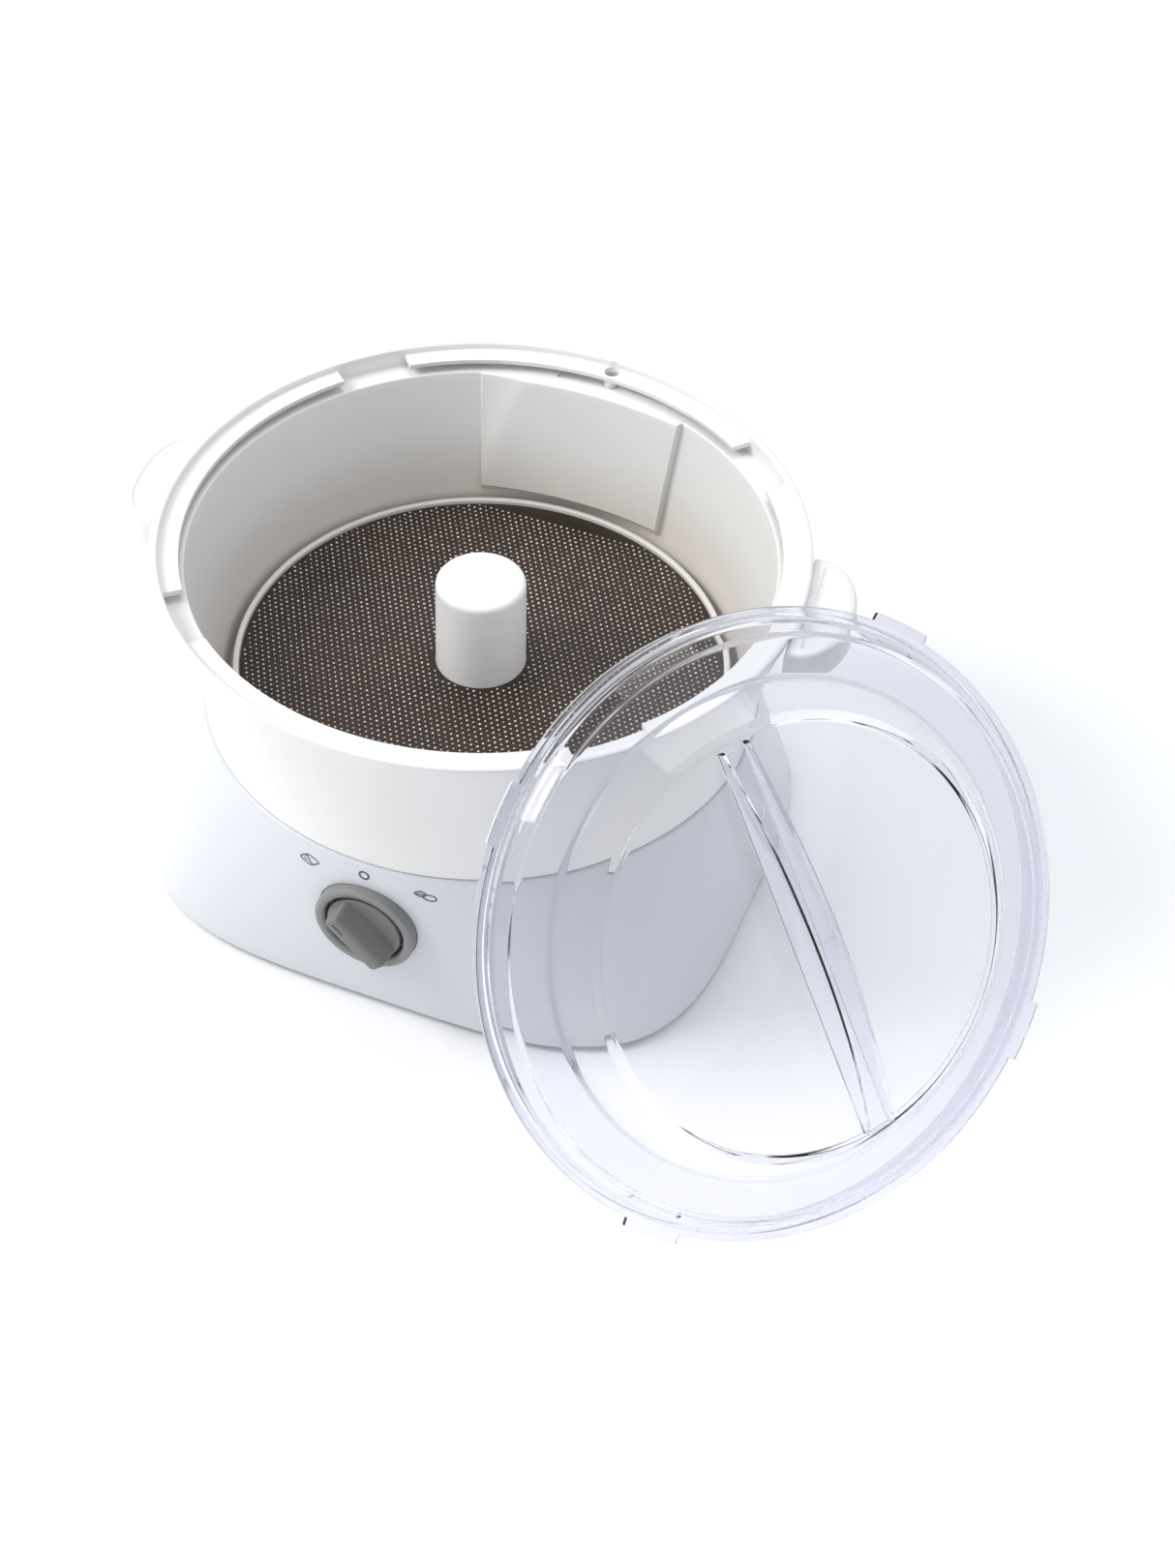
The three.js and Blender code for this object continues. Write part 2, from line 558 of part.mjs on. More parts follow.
const lugFoot = ledgeZ + LID_WALL + 2 * GAP;
const lugs = Array.from({ length: LUG_COUNT }, (_, i) => {
  const pitch = 360 / LUG_COUNT;
  const from = 45 + i * pitch + LUG_GAP_DEGREES / 2;
  const to = 45 + (i + 1) * pitch - LUG_GAP_DEGREES / 2;
  return ringSector(lipInner + 2, LID_RADIUS + 1, from, to, lugFoot, lugFoot + LUG_THICKNESS, 16);
});

// An ear: a flat shelf with a turned-down edge, open below for the fingers.
const earTop = RIM_Z - EAR_TOP_BELOW_RIM;
const earFoot = earTop - EAR_HEIGHT;
function earOutline(inset) {
  const reach = RIM_RADIUS + EAR_REACH - inset;
  const half = EAR_HALF_WIDTH - inset;
  const foot = RIM_RADIUS - 6 + inset;
  const steps = 12;
  return Array.from({ length: steps + 1 }, (_, i) => {
    const angle = radians(-90 + (180 * i) / steps);
    const x = foot + (reach - foot) * Math.max(Math.cos(angle), 0) ** 0.8;
    return [x, half * Math.sin(angle)];
  });
}
const earBlank = () => prism(earOutline(0), earFoot, earTop);
const earPocket = () => prism(earOutline(DRUM_WALL), earFoot - 1, earTop - DRUM_WALL);
const drumBore = turned(
  [[0, drumFoot - 20], [SKIRT_FOOT_RADIUS - 2, drumFoot - 20],
    ...levels(skirtFoot, RIM_Z + 1, 8).map((z) => [skirtRadius(Math.min(z, RIM_Z)) - DRUM_WALL / 2, z]),
    [0, RIM_Z + 1]],
);
const ears = [0, 180].map((angle) =>
  cut(earBlank(), earPocket(), drumBore).rotateZ(radians(angle + EAR_TURN_DEGREES)),
);

// The raised panel at the back of the well, with the interlock rod's slot in the ledge over it.
function panelBlock() {
  const radiusAt = (z) => wellRadius(z) + 0.5;
  const outline = [
    [radiusAt(floorTop + 14) - PANEL_THICKNESS, floorTop + 14],
    [radiusAt(floorTop + 14), floorTop + 14],
    [radiusAt(ledgeZ - 1), ledgeZ - 1],
    [radiusAt(ledgeZ - 1) - PANEL_THICKNESS, ledgeZ - 1],
  ];
  const ring = turned(outline, 2 * ROUND);
  const position = ring.attributes.position;
  for (let i = 0; i < position.count; i++) {
    const [x, y, z] = [position.getX(i), position.getY(i), position.getZ(i)];
    const share = (Math.atan2(y, x) - Math.PI / 2) / radians(PANEL_HALF_ANGLE);
    const crown = Math.hypot(x, y) < radiusAt(z) - 1 ? PANEL_CROWN * Math.max(0, 1 - share ** 2) : 0;
    const factor = 1 - crown / Math.hypot(x, y);
    position.setXY(i, x * factor, y * factor);
  }
  const wedge = ringSector(RIM_RADIUS, 60, 90 - PANEL_HALF_ANGLE, 90 + PANEL_HALF_ANGLE, 0, RIM_Z + 5, 8);
  return geometryOf(solid(ring).intersect(solid(wedge)));
}

const rodTopZ = ledgeZ + 1;
const rodFootZ = NECK_Z + ROD_TRAVEL + 1;
const rodLean = Math.atan2(ROD_TOP_RADIUS - ROD_FOOT_RADIUS, rodTopZ - rodFootZ);
const rodLength = Math.hypot(ROD_TOP_RADIUS - ROD_FOOT_RADIUS, rodTopZ - rodFootZ);
const rodTurn = radians(ROD_TURN_DEGREES);
const rodGroup = new THREE.Group(); // local +Z runs up the rod, from its foot
rodGroup.position.set(-ROD_FOOT_RADIUS * Math.sin(rodTurn), ROD_FOOT_RADIUS * Math.cos(rodTurn), rodFootZ);
rodGroup.rotation.set(-rodLean, 0, rodTurn, "ZXY");
root.add(rodGroup);
rodGroup.updateMatrix();
const rodSlot = cylinder(ROD_HEAD_RADIUS + GAP, rodLength - 14, rodLength + 8, 16).applyMatrix4(rodGroup.matrix);
const rodChannel = cylinder(ROD_RADIUS + GAP, -10, rodLength, 12).applyMatrix4(rodGroup.matrix);
const ledgeSlot = ringSector(lipInner + 1, MOUTH_RADIUS - 1, 83, 97, ledgeZ - 1, ledgeZ + 1);

const drum = join(turned(drumOutline), ...lugs, ...ears, panelBlock());
place("drum", cut(drum, ledgeSlot, rodSlot, rodChannel), whiteInner);

// ---- Lid interlock: a sprung rod in the drum's double wall, and a sensor under the deck ----
const rod = turned(
  [[0, 0], [ROD_RADIUS, 0], [ROD_RADIUS, rodLength - 5], [ROD_HEAD_RADIUS, rodLength - 5],
    [ROD_HEAD_RADIUS, rodLength], [0, rodLength]],
  16,
);
place("interlock_rod", rod, whiteInner, rodGroup);
const sensorTop = deckFoot - GAP;
const sensor = box(-8, 8, ROD_FOOT_RADIUS - 20, ROD_FOOT_RADIUS - 8, sensorTop - 8, sensorTop);
place("lid_sensor", sensor.rotateZ(rodTurn), blackPlastic);

// ---- Peeling disc: carrier plate, abrasive sheet, centre post and drive coupling ----
const postInner = POST_RADIUS - POST_WALL;
const carrierFoot = DISC_TOP_Z - CARRIER_THICKNESS;
const rimInner = DISC_RADIUS - CARRIER_RIM_WIDTH;
const carrier = turned([
  [postInner, carrierFoot], [DISC_RADIUS, carrierFoot], [DISC_RADIUS, DISC_TOP_Z + CARRIER_RIM_HEIGHT],
  [rimInner, DISC_TOP_Z + CARRIER_RIM_HEIGHT], [rimInner, DISC_TOP_Z], [postInner, DISC_TOP_Z],
]);
place("disc_carrier", carrier, whiteInner);
const sheetFoot = DISC_TOP_Z + GAP;
place(
  "abrasive_sheet",
  tube(rimInner - GAP, POST_RADIUS + GAP, sheetFoot, sheetFoot + SHEET_THICKNESS, ROUND),
  abrasive,
);
const postFoot = DISC_TOP_Z + GAP;
const post = turned(
  [[postInner, postFoot], [POST_RADIUS, postFoot], [POST_RADIUS, POST_TOP_Z - 2.5],
    [POST_RADIUS - 0.8, POST_TOP_Z - 0.8], [POST_RADIUS - 2.5, POST_TOP_Z], [0, POST_TOP_Z],
    [0, POST_TOP_Z - POST_WALL], [postInner, POST_TOP_Z - POST_WALL]],
  24,
);
place("centre_post", post, whiteShell);
const couplingTop = POST_TOP_Z - POST_WALL - GAP;
const socketFoot = SPINDLE_TOP_Z - HEX_LENGTH + GAP;
const coupling = cut(
  turned([[0, socketFoot], [9, socketFoot], [9, couplingTop - 3], [postInner - GAP, couplingTop - 3],
    [postInner - GAP, couplingTop], [0, couplingTop]], 20),
  hexagon(HEX_RADIUS + GAP, socketFoot - 1, SPINDLE_TOP_Z + GAP),
);
place("drive_coupling", coupling, blackPlastic);

// ---- Knob, bezel and selector switch ----
const bezelInner = BEZEL_RADIUS - BEZEL_RING;
const bezelBack = -4;
const bezel = turned(
  [[KNOB_SHAFT_RADIUS + GAP, bezelBack], [BEZEL_RADIUS, bezelBack], [BEZEL_RADIUS, BEZEL_PROUD - 1],
    [BEZEL_RADIUS - 1, BEZEL_PROUD], [bezelInner + 0.6, BEZEL_PROUD], [bezelInner, BEZEL_PROUD - 0.8],
    [bezelInner, bezelBack + 2], [KNOB_SHAFT_RADIUS + GAP, bezelBack + 2]],
  28,
);
place("knob_bezel", bezel, greyBezel, panelGroup);
const knobRadius = bezelInner - KNOB_FACE_GAP;
const knobFace = BEZEL_PROUD - 0.5;
const knobBack = bezelBack + 2 + GAP;
const switchDepth = 16;
const knobDisc = cylinder(knobRadius, knobBack, knobFace, 28);
const knobShaft = cylinder(KNOB_SHAFT_RADIUS, bezelBack - 10, knobBack + 1);
function gripBar() {
  const half = knobRadius - 0.6;
  const outline = [[-half, 0], [half, 0], [half - 1.5, KNOB_GRIP_HEIGHT], [-half + 3, KNOB_GRIP_HEIGHT]];
  const bar = prism(outline, -KNOB_GRIP_WIDTH / 2, KNOB_GRIP_WIDTH / 2);
  return bar.rotateX(Math.PI / 2).translate(0, 0, knobFace - 1);
}
const knobRound = cylinder(knobRadius, knobBack, knobFace + KNOB_GRIP_HEIGHT, 28);
const knobBar = geometryOf(solid(gripBar()).intersect(solid(knobRound)));
const knob = join(knobDisc, knobShaft, knobBar).rotateZ(radians(90 + KNOB_REST_DEGREES));
place("knob", knob, greyKnob, panelGroup);
const switchHalfWidth = 17;
const switchHalfHeight = 14;

// How far the front wall falls back from the panel's plane, at the switch's upper corners.
function wallFall() {
  const z = KNOB_Z + switchHalfHeight;
  const angle = Math.atan2(-knobFaceY, switchHalfWidth);
  const planeY = -knobFaceY - switchHalfHeight * Math.tan(panelLean);
  return planeY - baseRadius(z) * flare(angle, z) * Math.sin(angle);
}
const switchTop = Math.min(bezelBack - GAP, -(BASE_WALL + GAP + wallFall()));
const switchBody = cut(
  box(
    -switchHalfWidth, switchHalfWidth, -switchHalfHeight, switchHalfHeight, switchTop - switchDepth, switchTop,
  ),
  cylinder(KNOB_SHAFT_RADIUS + GAP, bezelBack - 11, 0),
);
place("selector_switch", switchBody, blackPlastic, panelGroup);
place("control_board", box(-84, -50, -34, 16, 30, 31.6), greenBoard);

// ---- Lid: flange, step, cone and raised disc, with four bayonet tabs and an arched handle ----
const lidLean = radians(LID_LEAN_DEGREES);
const lidTurn = radians(LID_TURN_DEGREES);
const outward = new THREE.Vector3(Math.sin(lidTurn), -Math.cos(lidTurn), 0);
const lidNormal = outward.clone().multiplyScalar(Math.cos(lidLean)).add(new THREE.Vector3(0, 0, Math.sin(lidLean)));
const lidAcross = new THREE.Vector3(Math.cos(lidTurn), Math.sin(lidTurn), 0);
const lidUp = new THREE.Vector3().crossVectors(lidNormal, lidAcross);
const lidReach = LID_RADIUS + TAB_REACH;
const plugOuter = MOUTH_RADIUS - 2;
const plugBack = LID_WALL + LID_PLUG_DEPTH;
// The plug's lower edge stands on the table, and its back leans on the rim's top edge.
const lidCentreZ = plugOuter * Math.cos(lidLean) + plugBack * Math.sin(lidLean) - FOOT_DROP;
const rimSupport = RIM_RADIUS * Math.cos(lidLean) + RIM_Z * Math.sin(lidLean);
const lidOffset = rimSupport + plugBack + GAP;
const lidForward = (lidOffset - lidCentreZ * Math.sin(lidLean)) / Math.cos(lidLean);
const lid = new THREE.Group();
lid.position
  .copy(outward)
  .multiplyScalar(lidForward)
  .addScaledVector(lidAcross, LID_SIDEWAYS)
  .setZ(lidCentreZ);
lid.setRotationFromMatrix(new THREE.Matrix4().makeBasis(lidAcross, lidUp, lidNormal));
root.add(lid);

const lidOutline = [
  [0, LID_RISE - LID_WALL],
  [LID_DISC_RADIUS - 3, LID_RISE - LID_WALL],
  [LID_STEP_RADIUS - LID_WALL - 1, LID_STEP_HEIGHT - LID_WALL],
  [plugOuter - 8, LID_STEP_HEIGHT - LID_WALL],
  [plugOuter - 5, -LID_WALL],
  [plugOuter - LID_WALL, -LID_WALL],
  [plugOuter - LID_WALL, -plugBack],
  [plugOuter, -plugBack],
  [plugOuter, -LID_WALL],
  [LID_RADIUS, -LID_WALL],
  [LID_RADIUS, 0],
  [plugOuter - 2, 0],
  [plugOuter - 6, LID_STEP_HEIGHT],
  [LID_STEP_RADIUS, LID_STEP_HEIGHT],
  [LID_DISC_RADIUS + 1, LID_RISE - 2],
  [LID_DISC_RADIUS - 2, LID_RISE],
  [0, LID_RISE],
];
const tabs = Array.from({ length: LUG_COUNT }, (_, i) => {
  const middle = TAB_OFFSET_DEGREES + (360 / LUG_COUNT) * i;
  return ringSector(
    lidReach, LID_RADIUS - 3, middle - TAB_DEGREES / 2, middle + TAB_DEGREES / 2, -LID_WALL, -0.4, 4,
  );
});
place("lid_shell", join(turned(lidOutline), ...tabs), clearPlastic, lid);

const handleFoot = LID_RISE + GAP;
const handleHalf = LID_DISC_RADIUS - 4;
function handleOutline() {
  const steps = 14;
  const arch = Array.from({ length: steps + 1 }, (_, i) => {
    const share = -1 + (2 * i) / steps;
    const rise = HANDLE_END_RISE + (HANDLE_RISE - HANDLE_END_RISE) * (1 - share ** 2);
    return [handleHalf * share, handleFoot + rise];
  });
  return [[-handleHalf, handleFoot], ...arch, [handleHalf, handleFoot]].reverse();
}
const handleBar = prism(handleOutline(), -HANDLE_WIDTH / 2, HANDLE_WIDTH / 2).rotateX(Math.PI / 2);
place("lid_handle", handleBar.rotateZ(Math.PI / 2 + radians(HANDLE_TURN_DEGREES)), clearPlastic, lid);

export default root;
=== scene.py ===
import json
import math

import bmesh
import bpy
from mathutils import Matrix, Vector


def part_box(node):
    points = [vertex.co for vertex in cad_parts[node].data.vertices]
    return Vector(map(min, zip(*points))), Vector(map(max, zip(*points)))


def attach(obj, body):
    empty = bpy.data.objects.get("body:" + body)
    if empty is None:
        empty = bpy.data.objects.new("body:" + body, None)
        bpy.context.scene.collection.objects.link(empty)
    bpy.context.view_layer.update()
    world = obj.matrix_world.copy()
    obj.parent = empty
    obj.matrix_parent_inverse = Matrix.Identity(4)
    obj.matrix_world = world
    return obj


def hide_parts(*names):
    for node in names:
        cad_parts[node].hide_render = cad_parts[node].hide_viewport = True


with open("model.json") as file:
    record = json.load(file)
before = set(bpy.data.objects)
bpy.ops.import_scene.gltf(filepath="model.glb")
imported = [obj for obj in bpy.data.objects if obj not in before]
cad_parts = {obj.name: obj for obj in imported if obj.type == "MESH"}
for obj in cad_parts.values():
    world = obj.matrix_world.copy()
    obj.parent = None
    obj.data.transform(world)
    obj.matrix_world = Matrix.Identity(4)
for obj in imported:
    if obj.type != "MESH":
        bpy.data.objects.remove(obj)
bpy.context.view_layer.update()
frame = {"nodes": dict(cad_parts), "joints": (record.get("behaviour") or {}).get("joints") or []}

# ---- Camera ----
# It looks down at the machine from about a metre away at its front right, as one stands at a
# worktop. The small shift leaves room for the lid at the right.
LOOK_AT = Vector((0.0, 0.0, 0.067))
EYE_DISTANCE = 0.996
EYE_TURN = math.radians(23.0)
EYE_RISE = math.radians(44.0)

towards_eye = Vector((
    math.sin(EYE_TURN) * math.cos(EYE_RISE),
    -math.cos(EYE_TURN) * math.cos(EYE_RISE),
    math.sin(EYE_RISE),
))
eye = bpy.data.objects.new("eye", bpy.data.cameras.new("eye"))
bpy.context.scene.collection.objects.link(eye)
eye.location = LOOK_AT + EYE_DISTANCE * towards_eye
eye.rotation_euler = towards_eye.to_track_quat("Z", "Y").to_euler()
eye.data.lens = 55.1
eye.data.sensor_width = 36.0
eye.data.shift_x = 0.068
eye.data.shift_y = -0.054
bpy.context.scene.camera = eye

# ---- Base housing ----
# One injection-moulded shell of glossy cool white plastic: round at the neck, where the drum sits,
# and spreading to a soft square at the foot. Sizes are in millimetres until a mesh is finished.
MILLIMETRE = 0.001
NECK_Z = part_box("base_housing")[1].z / MILLIMETRE
BASE_HALF_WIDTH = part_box("base_housing")[1].x / MILLIMETRE
BASE_HALF_DEPTH = 113.0
BASE_SQUARENESS = 3.8
BASE_WALL = 3.0
NECK_RADIUS = 114.0
NECK_INNER = 109.0
DECK_Z = 77.0
KNOB_Z = 47.0


def neck_share(height):
    return min(max((NECK_Z - height) / NECK_Z, 0.0), 1.0)


def base_radius(height):
    return NECK_RADIUS + (BASE_HALF_WIDTH - NECK_RADIUS) * neck_share(height)


def plan_factor(angle):
    across = abs(math.cos(angle)) ** BASE_SQUARENESS
    along = abs(math.sin(angle) * BASE_HALF_WIDTH / BASE_HALF_DEPTH) ** BASE_SQUARENESS
    return (across + along) ** (-1.0 / BASE_SQUARENESS)


def on_base(angle, radius, height):
    """A point of the base: the round plan spreads to the soft square towards the foot."""
    reach = radius * (1.0 + neck_share(height) * (plan_factor(angle) - 1.0))
    return Vector((reach * math.cos(angle), reach * math.sin(angle), height))


def on_round(angle, radius, height):
    return Vector((radius * math.cos(angle), radius * math.sin(angle), height))


def eased(corners, looped=True, steps=4):
    """An outline of (radius, height, easing) corners, each rounded off by its easing."""
    outline = []
    for i, (radius, height, easing) in enumerate(corners):
        corner = Vector((radius, height))
        if easing <= 0 or (not looped and i in (0, len(corners) - 1)):
            outline.append((radius, height))
            continue
        before = Vector(corners[i - 1][:2]) - corner
        after = Vector(corners[(i + 1) % len(corners)][:2]) - corner
        if min(before.length, after.length) < 1e-3:
            outline.extend([(radius, height)] * (steps + 1))
            continue
        back = easing / math.tan(max(before.angle(after), 0.05) / 2)
        start = corner + before.normalized() * min(back, 0.45 * before.length)
        end = corner + after.normalized() * min(back, 0.45 * after.length)
        for k in range(steps + 1):
            t = k / steps
            point = start.lerp(corner, t).lerp(corner.lerp(end, t), t)
            outline.append((point.x, point.y))
    return outline


def even_angles(steps):
    return [2 * math.pi * i / steps for i in range(steps)]


def ringed(outline_at, angles, point_at=on_round, seat=None):
    """A closed solid around the Z axis. outline_at(angle) gives the (radius, height) outline there,
    which either closes on itself or starts and ends on the axis."""
    columns = [outline_at(angle) for angle in angles]
    mesh = bmesh.new()
    rings = []
    for row in range(len(columns[0])):
        if columns[0][row][0] < 1e-6:
            rings.append([mesh.verts.new((0.0, 0.0, columns[0][row][1]))])
        else:
            rings.append([mesh.verts.new(point_at(a, *c[row])) for a, c in zip(angles, columns)])
    pairs = list(zip(rings, rings[1:]))
    if len(rings[0]) > 1:
        pairs.append((rings[-1], rings[0]))
    for lower, upper in pairs:
        for i in range(len(angles)):
            j = (i + 1) % len(angles)
            if len(lower) == 1:
                mesh.faces.new((lower[0], upper[j], upper[i]))
            elif len(upper) == 1:
                mesh.faces.new((lower[i], lower[j], upper[0]))
            else:
                mesh.faces.new((lower[i], lower[j], upper[j], upper[i]))
    if seat is not None:
        mesh.transform(seat)
    return mesh


def finished(name, mesh, finish, crease=36.0):
    """Turns a millimetre mesh into a piece in metres: doubles merged, faces outward, edges creased."""
    bmesh.ops.remove_doubles(mesh, verts=mesh.verts, dist=0.002)
    bmesh.ops.dissolve_degenerate(mesh, edges=mesh.edges, dist=0.001)
    bmesh.ops.recalc_face_normals(mesh, faces=mesh.faces)
    mesh.transform(Matrix.Scale(MILLIMETRE, 4))
    data = bpy.data.meshes.new(name)
    mesh.to_mesh(data)
    mesh.free()
    data.materials.append(finish)
    piece = bpy.data.objects.new(name, data)
    bpy.context.scene.collection.objects.link(piece)
    crease_edges(piece, crease)
    return piece


def crease_edges(piece, crease):
    piece.data.shade_smooth()
    piece.data.set_sharp_from_angle(angle=math.radians(crease))


def worked(piece, tool, operation, crease=36.0):
    """Cuts the tool out of the piece, or joins it on, and uses the tool up."""
    step = piece.modifiers.new("work", "BOOLEAN")
    step.object = tool
    step.operation = operation
    step.solver = "EXACT"
    shaped = piece.evaluated_get(bpy.context.evaluated_depsgraph_get())
    data = bpy.data.meshes.new_from_object(shaped)
    piece.modifiers.remove(step)
    piece.data = data
    bpy.data.objects.remove(tool)
    crease_edges(piece, crease)


def node_in(tree, kind, **settings):
    node = tree.nodes.new(kind)
    for name, value in settings.items():
        setattr(node, name, value)
    return node


def sockets(tree, direction, kind, names):
    for name, value in names:
        socket = tree.interface.new_socket(name, in_out=direction, socket_type=kind)
        if value is not None:
            socket.default_value = value


def moulded_skin_group():
    """The skin of a moulded plastic piece: broad drifts of tone, fine spark grain and dust specks."""
    tree = bpy.data.node_groups.new("Moulded skin", "ShaderNodeTree")
    sockets(tree, "INPUT", "NodeSocketFloat", [("Drift scale", 14.0), ("Grain scale", 900.0)])
    sockets(tree, "OUTPUT", "NodeSocketFloat", [("Drift", None), ("Grain", None), ("Specks", None)])
    given = node_in(tree, "NodeGroupInput")
    result = node_in(tree, "NodeGroupOutput")
    place = node_in(tree, "ShaderNodeTexCoord")
    drift = node_in(tree, "ShaderNodeTexNoise")
    drift.inputs["Detail"].default_value = 3.0
    grain = node_in(tree, "ShaderNodeTexNoise")
    grain.inputs["Detail"].default_value = 5.0
    specks = node_in(tree, "ShaderNodeTexVoronoi", feature="F1")
    speck_edge = node_in(tree, "ShaderNodeMapRange")
    speck_edge.inputs["From Min"].default_value = 0.03
    speck_edge.inputs["From Max"].default_value = 0.07
    speck_edge.inputs["To Min"].default_value = 1.0
    speck_edge.inputs["To Max"].default_value = 0.0
    for texture in (drift, grain, specks):
        tree.links.new(place.outputs["Object"], texture.inputs["Vector"])
    tree.links.new(given.outputs["Drift scale"], drift.inputs["Scale"])
    tree.links.new(given.outputs["Grain scale"], grain.inputs["Scale"])
    tree.links.new(given.outputs["Grain scale"], specks.inputs["Scale"])
    tree.links.new(drift.outputs["Fac"], result.inputs["Drift"])
    tree.links.new(grain.outputs["Fac"], result.inputs["Grain"])
    tree.links.new(specks.outputs["Distance"], speck_edge.inputs["Value"])
    tree.links.new(speck_edge.outputs["Result"], result.inputs["Specks"])
    return tree


MOULDED_SKIN = moulded_skin_group()


def blended(tree, factor, first, second, blend="MIX"):
    """A colour mix in a material, with the factor linked and either colour given or linked."""
    mix = node_in(tree, "ShaderNodeMix", data_type="RGBA", blend_type=blend)
    for value, socket in ((factor, mix.inputs[0]), (first, mix.inputs[6]), (second, mix.inputs[7])):
        if isinstance(value, bpy.types.NodeSocket):
            tree.links.new(value, socket)
        elif isinstance(value, float):
            socket.default_value = value
        else:
            socket.default_value = (*value, 1.0)
    return mix.outputs[2]


def ranged(tree, value, low, high):
    scale = node_in(tree, "ShaderNodeMapRange")
    scale.inputs["To Min"].default_value = low
    scale.inputs["To Max"].default_value = high
    tree.links.new(value, scale.inputs["Value"])
    return scale.outputs["Result"]


def bumped(tree, shader, height, strength, depth):
    bump = node_in(tree, "ShaderNodeBump")
    bump.inputs["Strength"].default_value = strength
    bump.inputs["Distance"].default_value = depth
    tree.links.new(height, bump.inputs["Height"])
    tree.links.new(bump.outputs["Normal"], shader.inputs["Normal"])


def plastic(name, light, dark, gloss, grain_scale=900.0, grain_depth=0.00002, **sockets_set):
    """A moulded plastic: two close tones, a roughness range and a fine grain."""
    finish = bpy.data.materials.new(name)
    finish.use_nodes = True
    tree = finish.node_tree
    shader = tree.nodes["Principled BSDF"]
    skin = node_in(tree, "ShaderNodeGroup", node_tree=MOULDED_SKIN)
    skin.inputs["Grain scale"].default_value = grain_scale
    tone = blended(tree, skin.outputs["Drift"], light, dark)
    tree.links.new(tone, shader.inputs["Base Color"])
    tree.links.new(ranged(tree, skin.outputs["Drift"], *gloss), shader.inputs["Roughness"])
    bumped(tree, shader, skin.outputs["Grain"], 0.35, grain_depth)
    for socket, value in sockets_set.items():
        shader.inputs[socket.replace("_", " ")].default_value = value
    return finish


SHELL_WHITE = plastic("shell_white", (0.63, 0.645, 0.67), (0.60, 0.615, 0.645), (0.20, 0.30))

housing_wall = [(base_radius(z), z, 0.0) for z in (6.0, 14.0, 22.0, 30.0, 38.0, 46.0, 54.0, 62.0, 70.0)]
housing_hollow = [
    (base_radius(z) - BASE_WALL, z, 0.0) for z in (66.0, 54.0, 42.0, 30.0, 18.0, 6.0)
]
housing_outline = eased([
    (base_radius(0) - BASE_WALL, 0.0, 0.4),
    (base_radius(0), 0.0, 1.4),
    *housing_wall,
    (NECK_RADIUS, NECK_Z, 1.2),
    (NECK_INNER, NECK_Z, 0.8),
    (NECK_INNER, DECK_Z, 0.6),
    (15.3, DECK_Z, 0.4),
    (15.3, DECK_Z - 4.0, 0.0),
    (NECK_INNER, DECK_Z - 4.0, 1.0),
    *housing_hollow,
])
housing = finished(
    "base_shell", ringed(lambda angle: housing_outline, even_angles(192), on_base), SHELL_WHITE
)

# The front wall leans in a little; its own frame has +Z out of the wall at the knob.
knob_face_y = -base_radius(KNOB_Z) * (1.0 + neck_share(KNOB_Z) * (plan_factor(math.pi / 2) - 1.0))
panel_lean = math.atan2(BASE_HALF_DEPTH - NECK_RADIUS, NECK_Z)
on_panel = Matrix.Translation((0, knob_face_y, KNOB_Z)) @ Matrix.Rotation(math.pi / 2 - panel_lean, 4, "X")

CORD_X = -60.0
CORD_Z = 22.0
cord_angle = math.atan2(BASE_HALF_DEPTH, CORD_X)
cord_face_y = on_base(cord_angle, base_radius(CORD_Z), CORD_Z).y + 1.0
on_cord = Matrix.Translation((CORD_X, cord_face_y, CORD_Z)) @ Matrix.Rotation(-math.pi / 2, 4, "X")


def plug(radius, low, high, seat, steps=64):
    """A plain round cutter for a hole."""
    outline = [(0.0, low), (radius, low), (radius, high), (0.0, high)]
    return finished("cutter", ringed(lambda angle: outline, even_angles(steps), seat=seat), SHELL_WHITE)


worked(housing, plug(21.2, -12.0, 12.0, on_panel), "DIFFERENCE")
worked(housing, plug(7.3, -12.0, 12.0, on_cord), "DIFFERENCE")
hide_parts("base_housing")
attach(housing, "base")

# ---- Bottom cover, screws and feet ----
# A flat white cover closes the base from below, held by four pan-head screws in countersinks. Four
# soft rubber feet are pressed into it, each with grip rings on its sole.
COVER_WHITE = plastic("cover_white", (0.72, 0.73, 0.75), (0.66, 0.67, 0.69), (0.38, 0.52), 600.0, 0.00006)
frame["nodes"]["bottom_cover"].data.materials.clear()
frame["nodes"]["bottom_cover"].data.materials.append(COVER_WHITE)


